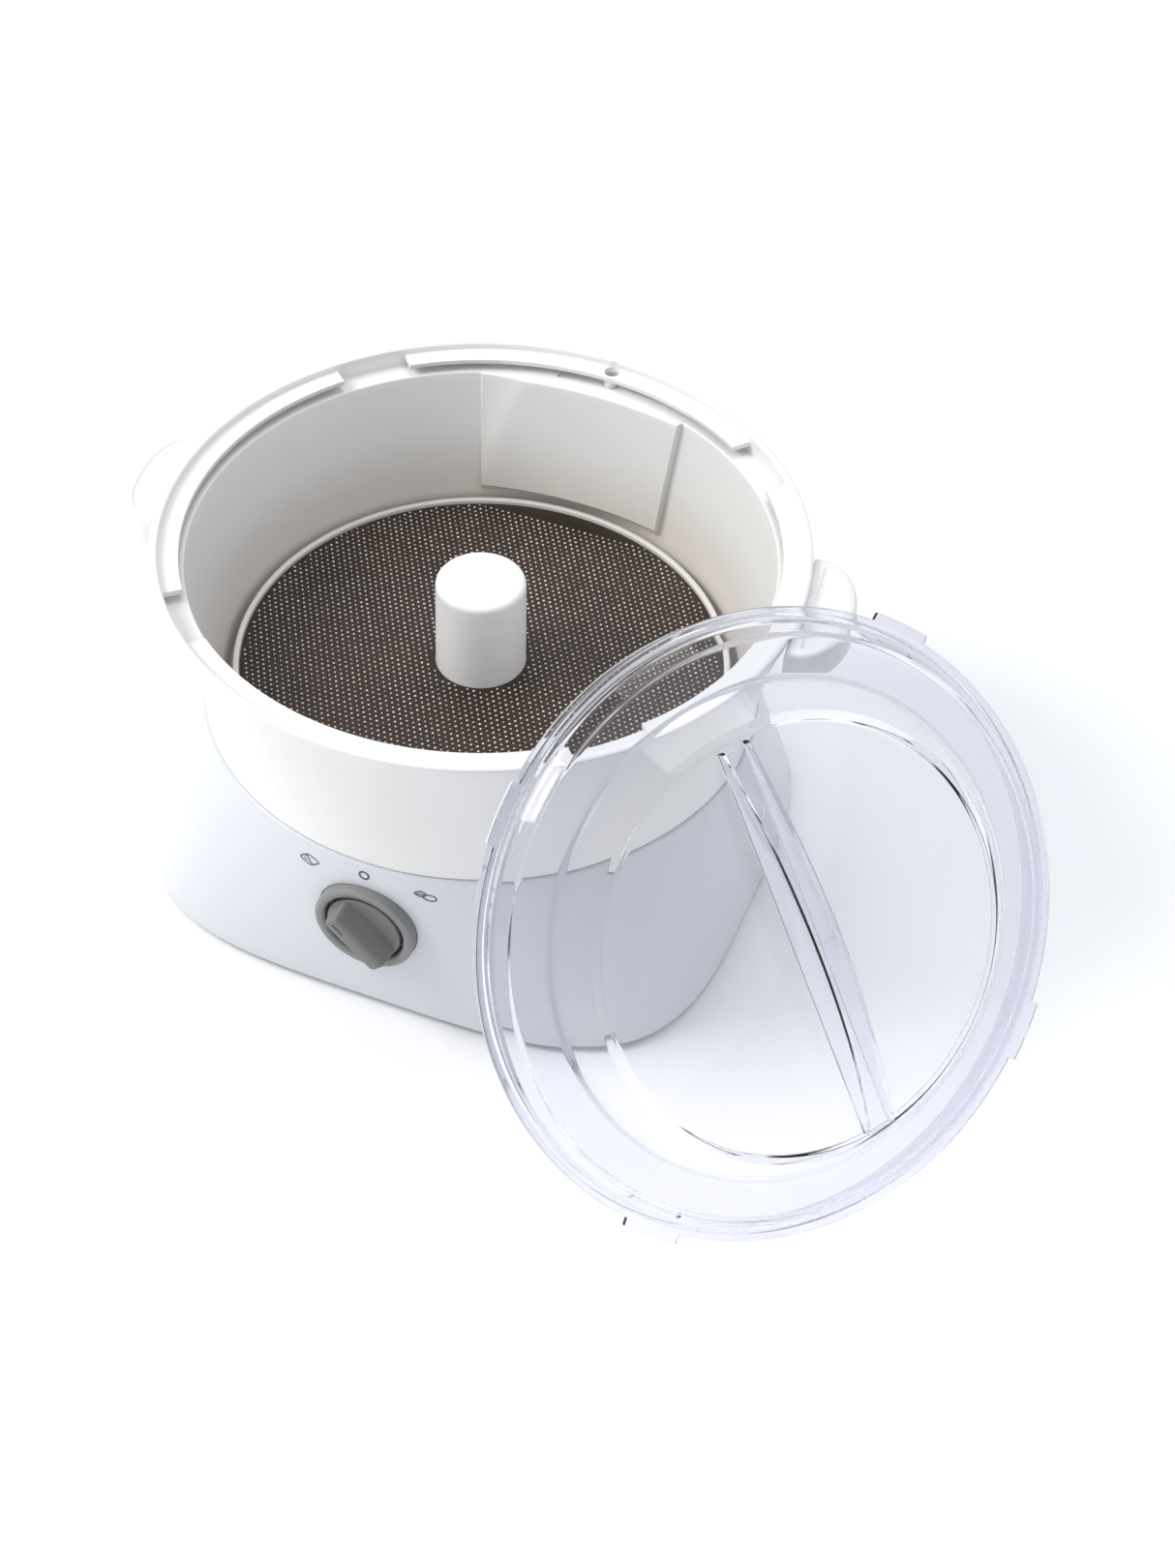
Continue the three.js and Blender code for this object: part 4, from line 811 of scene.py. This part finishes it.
def burr_tree():
    """Punches a staggered field of burrs over a flat ring, each turned its own way."""
    tree = bpy.data.node_groups.new("Burr field", "GeometryNodeTree")
    sockets(tree, "INPUT", "NodeSocketGeometry", [("Sheet", None)])
    sockets(tree, "INPUT", "NodeSocketObject", [("Burr", None)])
    sockets(tree, "INPUT", "NodeSocketFloat", [
        ("Pitch", 0.0027), ("Inner radius", 0.02), ("Outer radius", 0.097), ("Height", 0.09)
    ])
    sockets(tree, "INPUT", "NodeSocketInt", [("Rows", 70), ("Seed", 3)])
    sockets(tree, "INPUT", "NodeSocketMaterial", [("Finish", None)])
    sockets(tree, "OUTPUT", "NodeSocketGeometry", [("Punched sheet", None)])
    link = tree.links.new
    given = node_in(tree, "NodeGroupInput")
    result = node_in(tree, "NodeGroupOutput")

    def sum_of(operation, first, second):
        step = node_in(tree, "ShaderNodeMath", operation=operation)
        for value, socket in ((first, step.inputs[0]), (second, step.inputs[1])):
            if isinstance(value, float):
                socket.default_value = value
            else:
                link(value, socket)
        return step.outputs[0]

    grid = node_in(tree, "GeometryNodeMeshGrid")
    side = sum_of("MULTIPLY", given.outputs["Pitch"], given.outputs["Rows"])
    link(side, grid.inputs["Size X"])
    link(sum_of("MULTIPLY", side, 0.866), grid.inputs["Size Y"])
    link(given.outputs["Rows"], grid.inputs["Vertices X"])
    link(given.outputs["Rows"], grid.inputs["Vertices Y"])
    index = node_in(tree, "GeometryNodeInputIndex")
    odd = sum_of("MODULO", index.outputs[0], 2.0)
    shift = node_in(tree, "ShaderNodeCombineXYZ")
    link(sum_of("MULTIPLY", sum_of("MULTIPLY", odd, 0.5), given.outputs["Pitch"]), shift.inputs["X"])
    link(given.outputs["Height"], shift.inputs["Z"])
    stagger = node_in(tree, "GeometryNodeSetPosition")
    link(grid.outputs["Mesh"], stagger.inputs["Geometry"])
    link(shift.outputs["Vector"], stagger.inputs["Offset"])
    spot = node_in(tree, "GeometryNodeInputPosition")
    apart = node_in(tree, "ShaderNodeSeparateXYZ")
    link(spot.outputs[0], apart.inputs["Vector"])
    squared = sum_of(
        "ADD",
        sum_of("MULTIPLY", apart.outputs["X"], apart.outputs["X"]),
        sum_of("MULTIPLY", apart.outputs["Y"], apart.outputs["Y"]),
    )
    out = sum_of("SQRT", squared, 0.0)
    outside = sum_of("GREATER_THAN", out, given.outputs["Outer radius"])
    inside = sum_of("LESS_THAN", out, given.outputs["Inner radius"])
    trimmed = node_in(tree, "GeometryNodeDeleteGeometry", domain="POINT")
    link(stagger.outputs["Geometry"], trimmed.inputs["Geometry"])
    link(sum_of("MAXIMUM", outside, inside), trimmed.inputs["Selection"])
    turn = node_in(tree, "FunctionNodeRandomValue", data_type="FLOAT")
    turn.inputs[3].default_value = 2 * math.pi
    link(given.outputs["Seed"], turn.inputs["Seed"])
    angles = node_in(tree, "ShaderNodeCombineXYZ")
    link(turn.outputs[1], angles.inputs["Z"])
    size = node_in(tree, "FunctionNodeRandomValue", data_type="FLOAT")
    size.inputs[2].default_value = 0.8
    size.inputs[3].default_value = 1.1
    link(given.outputs["Seed"], size.inputs["Seed"])
    burr = node_in(tree, "GeometryNodeObjectInfo", transform_space="ORIGINAL")
    link(given.outputs["Burr"], burr.inputs["Object"])
    spread = node_in(tree, "GeometryNodeInstanceOnPoints")
    link(trimmed.outputs["Geometry"], spread.inputs["Points"])
    link(burr.outputs["Geometry"], spread.inputs["Instance"])
    link(angles.outputs["Vector"], spread.inputs["Rotation"])
    link(size.outputs[1], spread.inputs["Scale"])
    real = node_in(tree, "GeometryNodeRealizeInstances")
    link(spread.outputs["Instances"], real.inputs["Geometry"])
    together = node_in(tree, "GeometryNodeJoinGeometry")
    link(given.outputs["Sheet"], together.inputs["Geometry"])
    link(real.outputs["Geometry"], together.inputs["Geometry"])
    finish = node_in(tree, "GeometryNodeSetMaterial")
    link(together.outputs["Geometry"], finish.inputs["Geometry"])
    link(given.outputs["Finish"], finish.inputs["Material"])
    link(finish.outputs["Geometry"], result.inputs["Punched sheet"])
    return tree


PUNCHED_SHEET = abrasive_finish()
burr_outline = [
    (0.0, -0.3), (BURR_RADIUS, -0.3), (BURR_RADIUS * 0.45, 0.5), (BURR_RADIUS * 0.3, 0.44), (0.0, 0.02),
]
burr = finished("burr_pattern", ringed(lambda angle: burr_outline, even_angles(5)), PUNCHED_SHEET)
sheet_outline = eased([
    (SHEET_INNER, SHEET_FOOT, 0.1), (SHEET_OUTER, SHEET_FOOT, 0.1), (SHEET_OUTER, SHEET_TOP, 0.3),
    (SHEET_INNER, SHEET_TOP, 0.3),
], steps=2)
sheet = finished("punched_disc", ringed(lambda angle: sheet_outline, even_angles(120)), PUNCHED_SHEET)
fitted(sheet, burr_tree(), {
    "Burr": burr, "Pitch": BURR_PITCH * MILLIMETRE, "Inner radius": (SHEET_INNER + 1.6) * MILLIMETRE,
    "Outer radius": (SHEET_OUTER - 1.4) * MILLIMETRE, "Height": SHEET_TOP * MILLIMETRE, "Rows": 76, "Seed": 3,
    "Finish": PUNCHED_SHEET,
})
bpy.data.objects.remove(burr)
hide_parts("abrasive_sheet")
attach(sheet, "disc")

# ---- Centre post ----
# A hollow white post in the middle of the disc covers the drive coupling. Its top has a soft edge.
POST_RADIUS = 18.4
POST_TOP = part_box("centre_post")[1].z / MILLIMETRE
POST_WHITE = plastic("post_white", (0.84, 0.84, 0.84), (0.80, 0.80, 0.80), (0.30, 0.44), 1000.0, 0.00006)
post_outline = eased([
    (0.0, POST_TOP, 0.0), (POST_RADIUS - 0.3, POST_TOP, 3.0), (POST_RADIUS, DISC_TOP + 2.0, 0.3),
    (POST_RADIUS + 0.2, DISC_TOP + 0.3, 0.2), (CARRIER_BORE, DISC_TOP + 0.3, 0.3),
    (CARRIER_BORE, POST_TOP - 2.2, 1.0), (0.0, POST_TOP - 2.2, 0.0),
], looped=False, steps=6)
post = finished("post_cap", ringed(lambda angle: post_outline, even_angles(96)), POST_WHITE)
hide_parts("centre_post")
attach(post, "disc")

# ---- Selector knob and its bezel ----
# A satin grey ring is let into the front wall. The knob turns in it behind a narrow dark gap and has
# one tall tapered grip across its face, with a pointer line cut into the end that points.
BEZEL_RADIUS = 20.9
BEZEL_INNER = 16.9
BEZEL_PROUD = 4.0
BEZEL_GREY = plastic("bezel_grey", (0.235, 0.235, 0.232), (0.20, 0.20, 0.197), (0.34, 0.48), 1600.0, 0.00004)
KNOB_GREY = plastic("knob_grey", (0.175, 0.175, 0.165), (0.14, 0.14, 0.132), (0.36, 0.52), 1600.0, 0.00005)
bezel_outline = eased([
    (3.3, -4.0, 0.2), (BEZEL_RADIUS, -4.0, 0.3), (BEZEL_RADIUS, BEZEL_PROUD - 0.6, 0.9),
    (BEZEL_RADIUS - 1.6, BEZEL_PROUD, 0.6), (BEZEL_INNER + 0.7, BEZEL_PROUD - 0.3, 0.5),
    (BEZEL_INNER, BEZEL_PROUD - 1.2, 0.3), (BEZEL_INNER, -2.0, 0.3), (3.3, -2.0, 0.2),
])
bezel = finished(
    "bezel_ring", ringed(lambda angle: bezel_outline, even_angles(120), seat=on_panel), BEZEL_GREY
)
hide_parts("knob_bezel")
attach(bezel, "base")

KNOB_RADIUS = 15.7
KNOB_FACE = 3.5
GRIP_TOP = 12.5
KNOB_TURN = math.radians(135.0)


def rounded_bar(half_length, half_width, corner, steps=6):
    """The plan of a bar along X with rounded corners."""
    plan = []
    for centre_x, centre_y, start in ((1, 1, 0.0), (-1, 1, 0.5), (-1, -1, 1.0), (1, -1, 1.5)):
        for i in range(steps + 1):
            angle = math.pi * (start + 0.5 * i / steps)
            x = centre_x * (half_length - corner) + corner * math.cos(angle)
            y = centre_y * (half_width - corner) + corner * math.sin(angle)
            plan.append((x, y))
    return plan


knob_outline = eased([
    (0.0, KNOB_FACE, 0.0), (KNOB_RADIUS - 0.2, KNOB_FACE, 0.8), (KNOB_RADIUS, -1.7, 0.4), (3.0, -1.7, 0.2),
    (3.0, -14.0, 0.3), (0.0, -14.0, 0.0),
], looped=False)
knob = finished("knob_body", ringed(lambda angle: knob_outline, even_angles(112)), KNOB_GREY)
grip_layers = [
    (rounded_bar(15.0, 5.2, 2.0), KNOB_FACE - 1.0), (rounded_bar(15.0, 5.0, 2.0), KNOB_FACE + 0.2),
    (rounded_bar(14.7, 4.5, 2.0), KNOB_FACE + 1.2), (rounded_bar(14.2, 3.8, 1.8), GRIP_TOP - 1.6),
    (rounded_bar(13.9, 3.5, 1.7), GRIP_TOP - 0.8), (rounded_bar(13.4, 3.0, 1.6), GRIP_TOP - 0.25),
    (rounded_bar(12.7, 2.4, 1.4), GRIP_TOP),
]
worked(knob, finished("cutter", lofted(grip_layers), KNOB_GREY), "UNION", 30.0)
pointer = bmesh.new()
pointer_place = Matrix.Translation((9.2, 0, GRIP_TOP)) @ Matrix.Diagonal((5.6, 0.9, 1.0, 1.0))
bmesh.ops.create_cube(pointer, size=1.0, matrix=pointer_place)
worked(knob, finished("cutter", pointer, KNOB_GREY), "DIFFERENCE", 30.0)
knob.data.transform(
    Matrix.Scale(MILLIMETRE, 4) @ on_panel
    @ Matrix.Rotation(KNOB_TURN, 4, "Z") @ Matrix.Scale(1 / MILLIMETRE, 4)
)
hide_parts("knob")
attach(knob, "knob")

# ---- Dial marks ----
# Three small printed marks over the knob say what its positions do: a potato losing its peel, a
# plain ring for off, and a leaf beside a potato. Each is a thin raised line of dark grey ink.
INK_GREY = plastic("ink_grey", (0.055, 0.055, 0.06), (0.075, 0.075, 0.08), (0.45, 0.6), 2000.0, 0.00002)
INK_WIDTH = 0.55
INK_PROUD = 0.12


def on_front(x, height, proud):
    """The point of the front wall at x and a height, moved out by proud."""
    angle = -math.pi / 2
    for _ in range(6):
        angle += (x - on_base(angle, base_radius(height), height).x) / BASE_HALF_DEPTH
    point = on_base(angle, base_radius(height), height)
    return Vector((point.x, point.y - proud, point.z))


def oval(centre_x, centre_z, half_width, half_height, tilt=0.0, wave=0.0, waves=3, steps=48):
    line = []
    for i in range(steps):
        angle = 2 * math.pi * i / steps
        grow = 1.0 + wave * math.cos(waves * angle)
        x = half_width * grow * math.cos(angle)
        z = half_height * grow * math.sin(angle)
        line.append((
            centre_x + x * math.cos(tilt) - z * math.sin(tilt),
            centre_z + x * math.sin(tilt) + z * math.cos(tilt),
        ))
    return line


def inked(mesh, line, looped, width=INK_WIDTH):
    """Adds one printed line to the mesh as a thin closed strip that follows the wall."""
    rows = []
    count = len(line)
    for i, (x, z) in enumerate(line):
        ahead = line[(i + 1) % count] if looped or i < count - 1 else line[i]
        behind = line[i - 1] if looped or i > 0 else line[i]
        along = Vector((ahead[0] - behind[0], ahead[1] - behind[1])).normalized()
        side = Vector((-along.y, along.x)) * (width / 2)
        rows.append([
            mesh.verts.new(on_front(x + k * side.x, KNOB_Z + z + k * side.y, proud))
            for k, proud in ((-1, -0.1), (-1, INK_PROUD), (1, INK_PROUD), (1, -0.1))
        ])
    for i in range(count if looped else count - 1):
        first, second = rows[i], rows[(i + 1) % count]
        for k in range(4):
            mesh.faces.new((first[k], first[(k + 1) % 4], second[(k + 1) % 4], second[k]))
    if not looped:
        mesh.faces.new(rows[0])
        mesh.faces.new(list(reversed(rows[-1])))


MARK_SIDE = 24.4
MARK_HEIGHT = 24.2
OFF_HEIGHT = 28.0
marks = bmesh.new()
inked(marks, oval(0.0, OFF_HEIGHT, 1.9, 1.9), True, 0.8)
inked(marks, oval(-MARK_SIDE, MARK_HEIGHT, 3.9, 2.3, 0.15, 0.10, 4), True)
peel = [
    (-MARK_SIDE - 1.7 + 3.0 * t, MARK_HEIGHT + 1.3 - 2.4 * t + 0.8 * math.sin(2 * math.pi * t))
    for t in (i / 16 for i in range(17))
]
inked(marks, peel, False)
inked(marks, [(-MARK_SIDE - 2.6 + 1.6 * t, MARK_HEIGHT - 0.9 * t) for t in (0.0, 0.5, 1.0)], False, 0.45)
inked(marks, oval(MARK_SIDE + 1.8, MARK_HEIGHT - 0.5, 2.6, 1.5, -0.15), True)
leaf = []
for i in range(33):
    t = i / 32
    bulge = 1.9 * math.sin(math.pi * t) * (1 + 0.22 * math.cos(10 * math.pi * t))
    leaf.append((MARK_SIDE - 4.3 + 5.0 * t, MARK_HEIGHT + 0.9 + bulge * 0.75))
for i in range(31, 0, -1):
    t = i / 32
    bulge = 1.7 * math.sin(math.pi * t) * (1 + 0.22 * math.cos(10 * math.pi * t))
    leaf.append((MARK_SIDE - 4.3 + 5.0 * t, MARK_HEIGHT + 0.9 - bulge * 0.75))
inked(marks, leaf, True, 0.45)
inked(marks, [(MARK_SIDE - 3.9 + 3.8 * t, MARK_HEIGHT + 0.9 - 0.25 * t) for t in (0.0, 0.5, 1.0)], False, 0.4)
printed = finished("dial_marks", marks, INK_GREY)
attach(printed, "base")

# ---- Lid ----
# A clear moulded lid with a faint violet tint: a flange with four bayonet tabs, a step, a cone up to
# the raised disc, and a short plug skirt behind. It leans against the drum's rim at the front right.
LID_RADIUS = 116.5
LID_WALL = 2.4
LID_RISE = 20.0
LID_DISC_RADIUS = 81.0
LID_STEP_RADIUS = 93.0
PLUG_OUTER = MOUTH_RADIUS - 2.0
PLUG_BACK = LID_WALL + 10.0
TAB_REACH = 3.0
TAB_HALF = math.radians(5.5)
TAB_TURN = math.radians(50.0)
LID_LEAN = math.radians(33.5)
LID_SIDEWAYS = 28.0

lift = next(joint for joint in frame["joints"] if joint["name"] == "lid_lift")
lid_out = Vector(lift["axis"]).normalized()
lid_across = Vector((0, 0, 1)).cross(lid_out).normalized()
lid_up = lid_out.cross(lid_across)
lid_centre_z = PLUG_OUTER * math.cos(LID_LEAN) + PLUG_BACK * math.sin(LID_LEAN) + FOOT_SOLE
rim_support = RIM_RADIUS * math.cos(LID_LEAN) + RIM_Z * math.sin(LID_LEAN)
lid_forward = (rim_support + PLUG_BACK + 0.3 - lid_centre_z * math.sin(LID_LEAN)) / math.cos(LID_LEAN)
level_out = Vector((lid_out.x, lid_out.y, 0)).normalized()
lid_centre = level_out * lid_forward + lid_across * LID_SIDEWAYS + Vector((0, 0, lid_centre_z))
on_lid = Matrix.Translation(lid_centre) @ Matrix((lid_across, lid_up, lid_out)).transposed().to_4x4()


THICK_TINT = (0.86, 0.865, 0.92)
CLEAR_IOR = 1.36
SHADOW_SHARE = 0.12


def clear_finish(name, tint, gloss):
    """Clear tinted plastic, deeper in colour towards the lid's edge; its shadow stays pale."""
    finish = bpy.data.materials.new(name)
    finish.use_nodes = True
    tree = finish.node_tree
    shader = tree.nodes["Principled BSDF"]
    shader.inputs["Transmission Weight"].default_value = 1.0
    shader.inputs["IOR"].default_value = CLEAR_IOR
    skin = node_in(tree, "ShaderNodeGroup", node_tree=MOULDED_SKIN)
    skin.inputs["Drift scale"].default_value = 9.0
    skin.inputs["Grain scale"].default_value = 60.0
    darker = tuple(0.97 * value for value in tint)
    place = node_in(tree, "ShaderNodeTexCoord")
    from_centre = node_in(tree, "ShaderNodeVectorMath", operation="SUBTRACT")
    from_centre.inputs[1].default_value = lid_centre * MILLIMETRE
    across = node_in(tree, "ShaderNodeVectorMath", operation="CROSS_PRODUCT")
    across.inputs[1].default_value = lid_out
    apart = node_in(tree, "ShaderNodeVectorMath", operation="LENGTH")
    thick = node_in(tree, "ShaderNodeMapRange", interpolation_type="SMOOTHSTEP")
    thick.inputs["From Min"].default_value = (LID_DISC_RADIUS + 3.0) * MILLIMETRE
    thick.inputs["From Max"].default_value = (LID_STEP_RADIUS + 3.0) * MILLIMETRE
    tree.links.new(place.outputs["Object"], from_centre.inputs[0])
    tree.links.new(from_centre.outputs["Vector"], across.inputs[0])
    tree.links.new(across.outputs["Vector"], apart.inputs[0])
    tree.links.new(apart.outputs["Value"], thick.inputs["Value"])
    middle = blended(tree, skin.outputs["Drift"], tint, darker)
    tree.links.new(blended(tree, thick.outputs["Result"], middle, THICK_TINT), shader.inputs["Base Color"])
    tree.links.new(ranged(tree, skin.outputs["Specks"], *gloss), shader.inputs["Roughness"])
    bumped(tree, shader, skin.outputs["Grain"], 0.05, 0.0003)
    path = node_in(tree, "ShaderNodeLightPath")
    tree.links.new(ranged(tree, path.outputs["Is Shadow Ray"], 1.0, SHADOW_SHARE), shader.inputs["Alpha"])
    return finish


CLEAR_LID = clear_finish("clear_lid", (0.955, 0.957, 0.98), (0.02, 0.09))


def lid_outline(angle):
    from_tab = abs((angle - TAB_TURN + math.pi / 4) % (math.pi / 2) - math.pi / 4)
    tab = min(max((TAB_HALF - from_tab) / SHARP_TURN + 1.0, 0.0), 1.0)
    reach = LID_RADIUS + TAB_REACH * tab
    return eased([
        (0.0, LID_RISE - LID_WALL, 0.0), (LID_DISC_RADIUS - 3.0, LID_RISE - LID_WALL, 2.0),
        (LID_STEP_RADIUS - 3.4, 3.6, 1.6), (PLUG_OUTER - 8.0, 3.6, 1.2), (PLUG_OUTER - 5.0, -LID_WALL, 0.8),
        (PLUG_OUTER - LID_WALL, -LID_WALL, 0.6), (PLUG_OUTER - 2.0, -PLUG_BACK, 0.6),
        (PLUG_OUTER, -PLUG_BACK, 0.6), (PLUG_OUTER, -LID_WALL, 0.4), (reach, -LID_WALL, 0.5),
        (reach, -0.4, 0.5),
        (LID_RADIUS - 0.6, 0.0, 0.3), (PLUG_OUTER - 2.0, 0.0, 1.0), (PLUG_OUTER - 6.0, 6.0, 1.4),
        (LID_STEP_RADIUS, 6.0, 2.0), (LID_DISC_RADIUS + 1.0, LID_RISE - 2.0, 2.4),
        (LID_DISC_RADIUS - 2.0, LID_RISE, 1.6), (0.0, LID_RISE, 0.0),
    ], looped=False)


tab_ends = [TAB_TURN + i * math.pi / 2 + side * TAB_HALF for i in range(4) for side in (-1, 1)]
lid_angles = turns_with(200, [a % (2 * math.pi) for a in tab_ends])
lid = finished("lid_dome", ringed(lid_outline, lid_angles, seat=on_lid), CLEAR_LID)
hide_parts("lid_shell")
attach(lid, "lid")

# ---- Lid handle ----
# A hollow arched bar of the same clear plastic runs across the raised disc. Its top is flat, with
# soft edges, and it dies away into the disc at both ends.
HANDLE_HALF = 77.0
HANDLE_TURN = math.radians(8.0)
HANDLE_FOOT = LID_RISE + 0.3
HANDLE_WALL = 2.0
HANDLE_RISE = 19.0
HANDLE_END_RISE = 4.0
CLEAR_HANDLE = clear_finish("clear_handle", (0.93, 0.935, 0.975), (0.03, 0.12))


def handle_section(top):
    inner_top = max(top - HANDLE_WALL, HANDLE_FOOT + 0.6)
    return eased([
        (-6.0, HANDLE_FOOT, 0.2), (-4.2, HANDLE_FOOT, 0.2), (-4.0, inner_top, 0.4), (4.0, inner_top, 0.4),
        (4.2, HANDLE_FOOT, 0.2), (6.0, HANDLE_FOOT, 0.2), (5.7, top, 1.0), (-5.7, top, 1.0),
    ])


arch = bmesh.new()
sections = []
for share in spaced(-1.0, 1.0, 61):
    top = HANDLE_FOOT + HANDLE_END_RISE + (HANDLE_RISE - HANDLE_END_RISE) * (1.0 - share * share)
    sections.append([arch.verts.new((x, HANDLE_HALF * share, z)) for x, z in handle_section(top)])
for first, second in zip(sections, sections[1:]):
    for i in range(len(first)):
        j = (i + 1) % len(first)
        arch.faces.new((first[i], first[j], second[j], second[i]))
arch.faces.new(sections[0])
arch.faces.new(list(reversed(sections[-1])))
arch.transform(on_lid @ Matrix.Rotation(HANDLE_TURN, 4, "Z"))
handle = finished("handle_arch", arch, CLEAR_HANDLE)
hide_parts("lid_handle")
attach(handle, "lid")

# ---- Floor and light ----
# A plain pale table top with a large soft light from the upper left, a weaker one from the right and
# a pale sky all round. Tones are shown as they are, so that white plastic stays near white.
floor_mesh = bmesh.new()
floor_place = Matrix.Translation((0, 0, FOOT_SOLE))
bmesh.ops.create_grid(floor_mesh, x_segments=4, y_segments=4, size=3000.0, matrix=floor_place)
PALE_FLOOR = bpy.data.materials.new("pale_floor")
PALE_FLOOR.use_nodes = True
PALE_FLOOR.node_tree.nodes["Principled BSDF"].inputs["Base Color"].default_value = (0.92, 0.925, 0.935, 1.0)
PALE_FLOOR.node_tree.nodes["Principled BSDF"].inputs["Roughness"].default_value = 0.7
floor = finished("table_top", floor_mesh, PALE_FLOOR)


def soft_light(name, place, size, power, colour):
    light = bpy.data.objects.new(name, bpy.data.lights.new(name, "AREA"))
    bpy.context.scene.collection.objects.link(light)
    light.location = place
    light.rotation_euler = Vector(place).to_track_quat("Z", "Y").to_euler()
    light.data.shape = "DISK"
    light.data.size = size
    light.data.energy = power
    light.data.color = colour


soft_light("key_light", (-1.3, -0.5, 1.3), 0.9, 23.0, (1.0, 0.985, 0.96))
soft_light("fill_light", (1.6, -1.0, 1.0), 1.6, 3.5, (0.94, 0.96, 1.0))
soft_light("top_light", (-0.1, 0.5, 2.0), 1.4, 12.0, (0.97, 0.98, 1.0))
sky = bpy.data.worlds.new("pale_sky")
sky.use_nodes = True
sky.node_tree.nodes["Background"].inputs["Color"].default_value = (0.93, 0.95, 1.0, 1.0)
sky.node_tree.nodes["Background"].inputs["Strength"].default_value = 0.74
bpy.context.scene.world = sky
bpy.context.scene.view_settings.view_transform = "Standard"
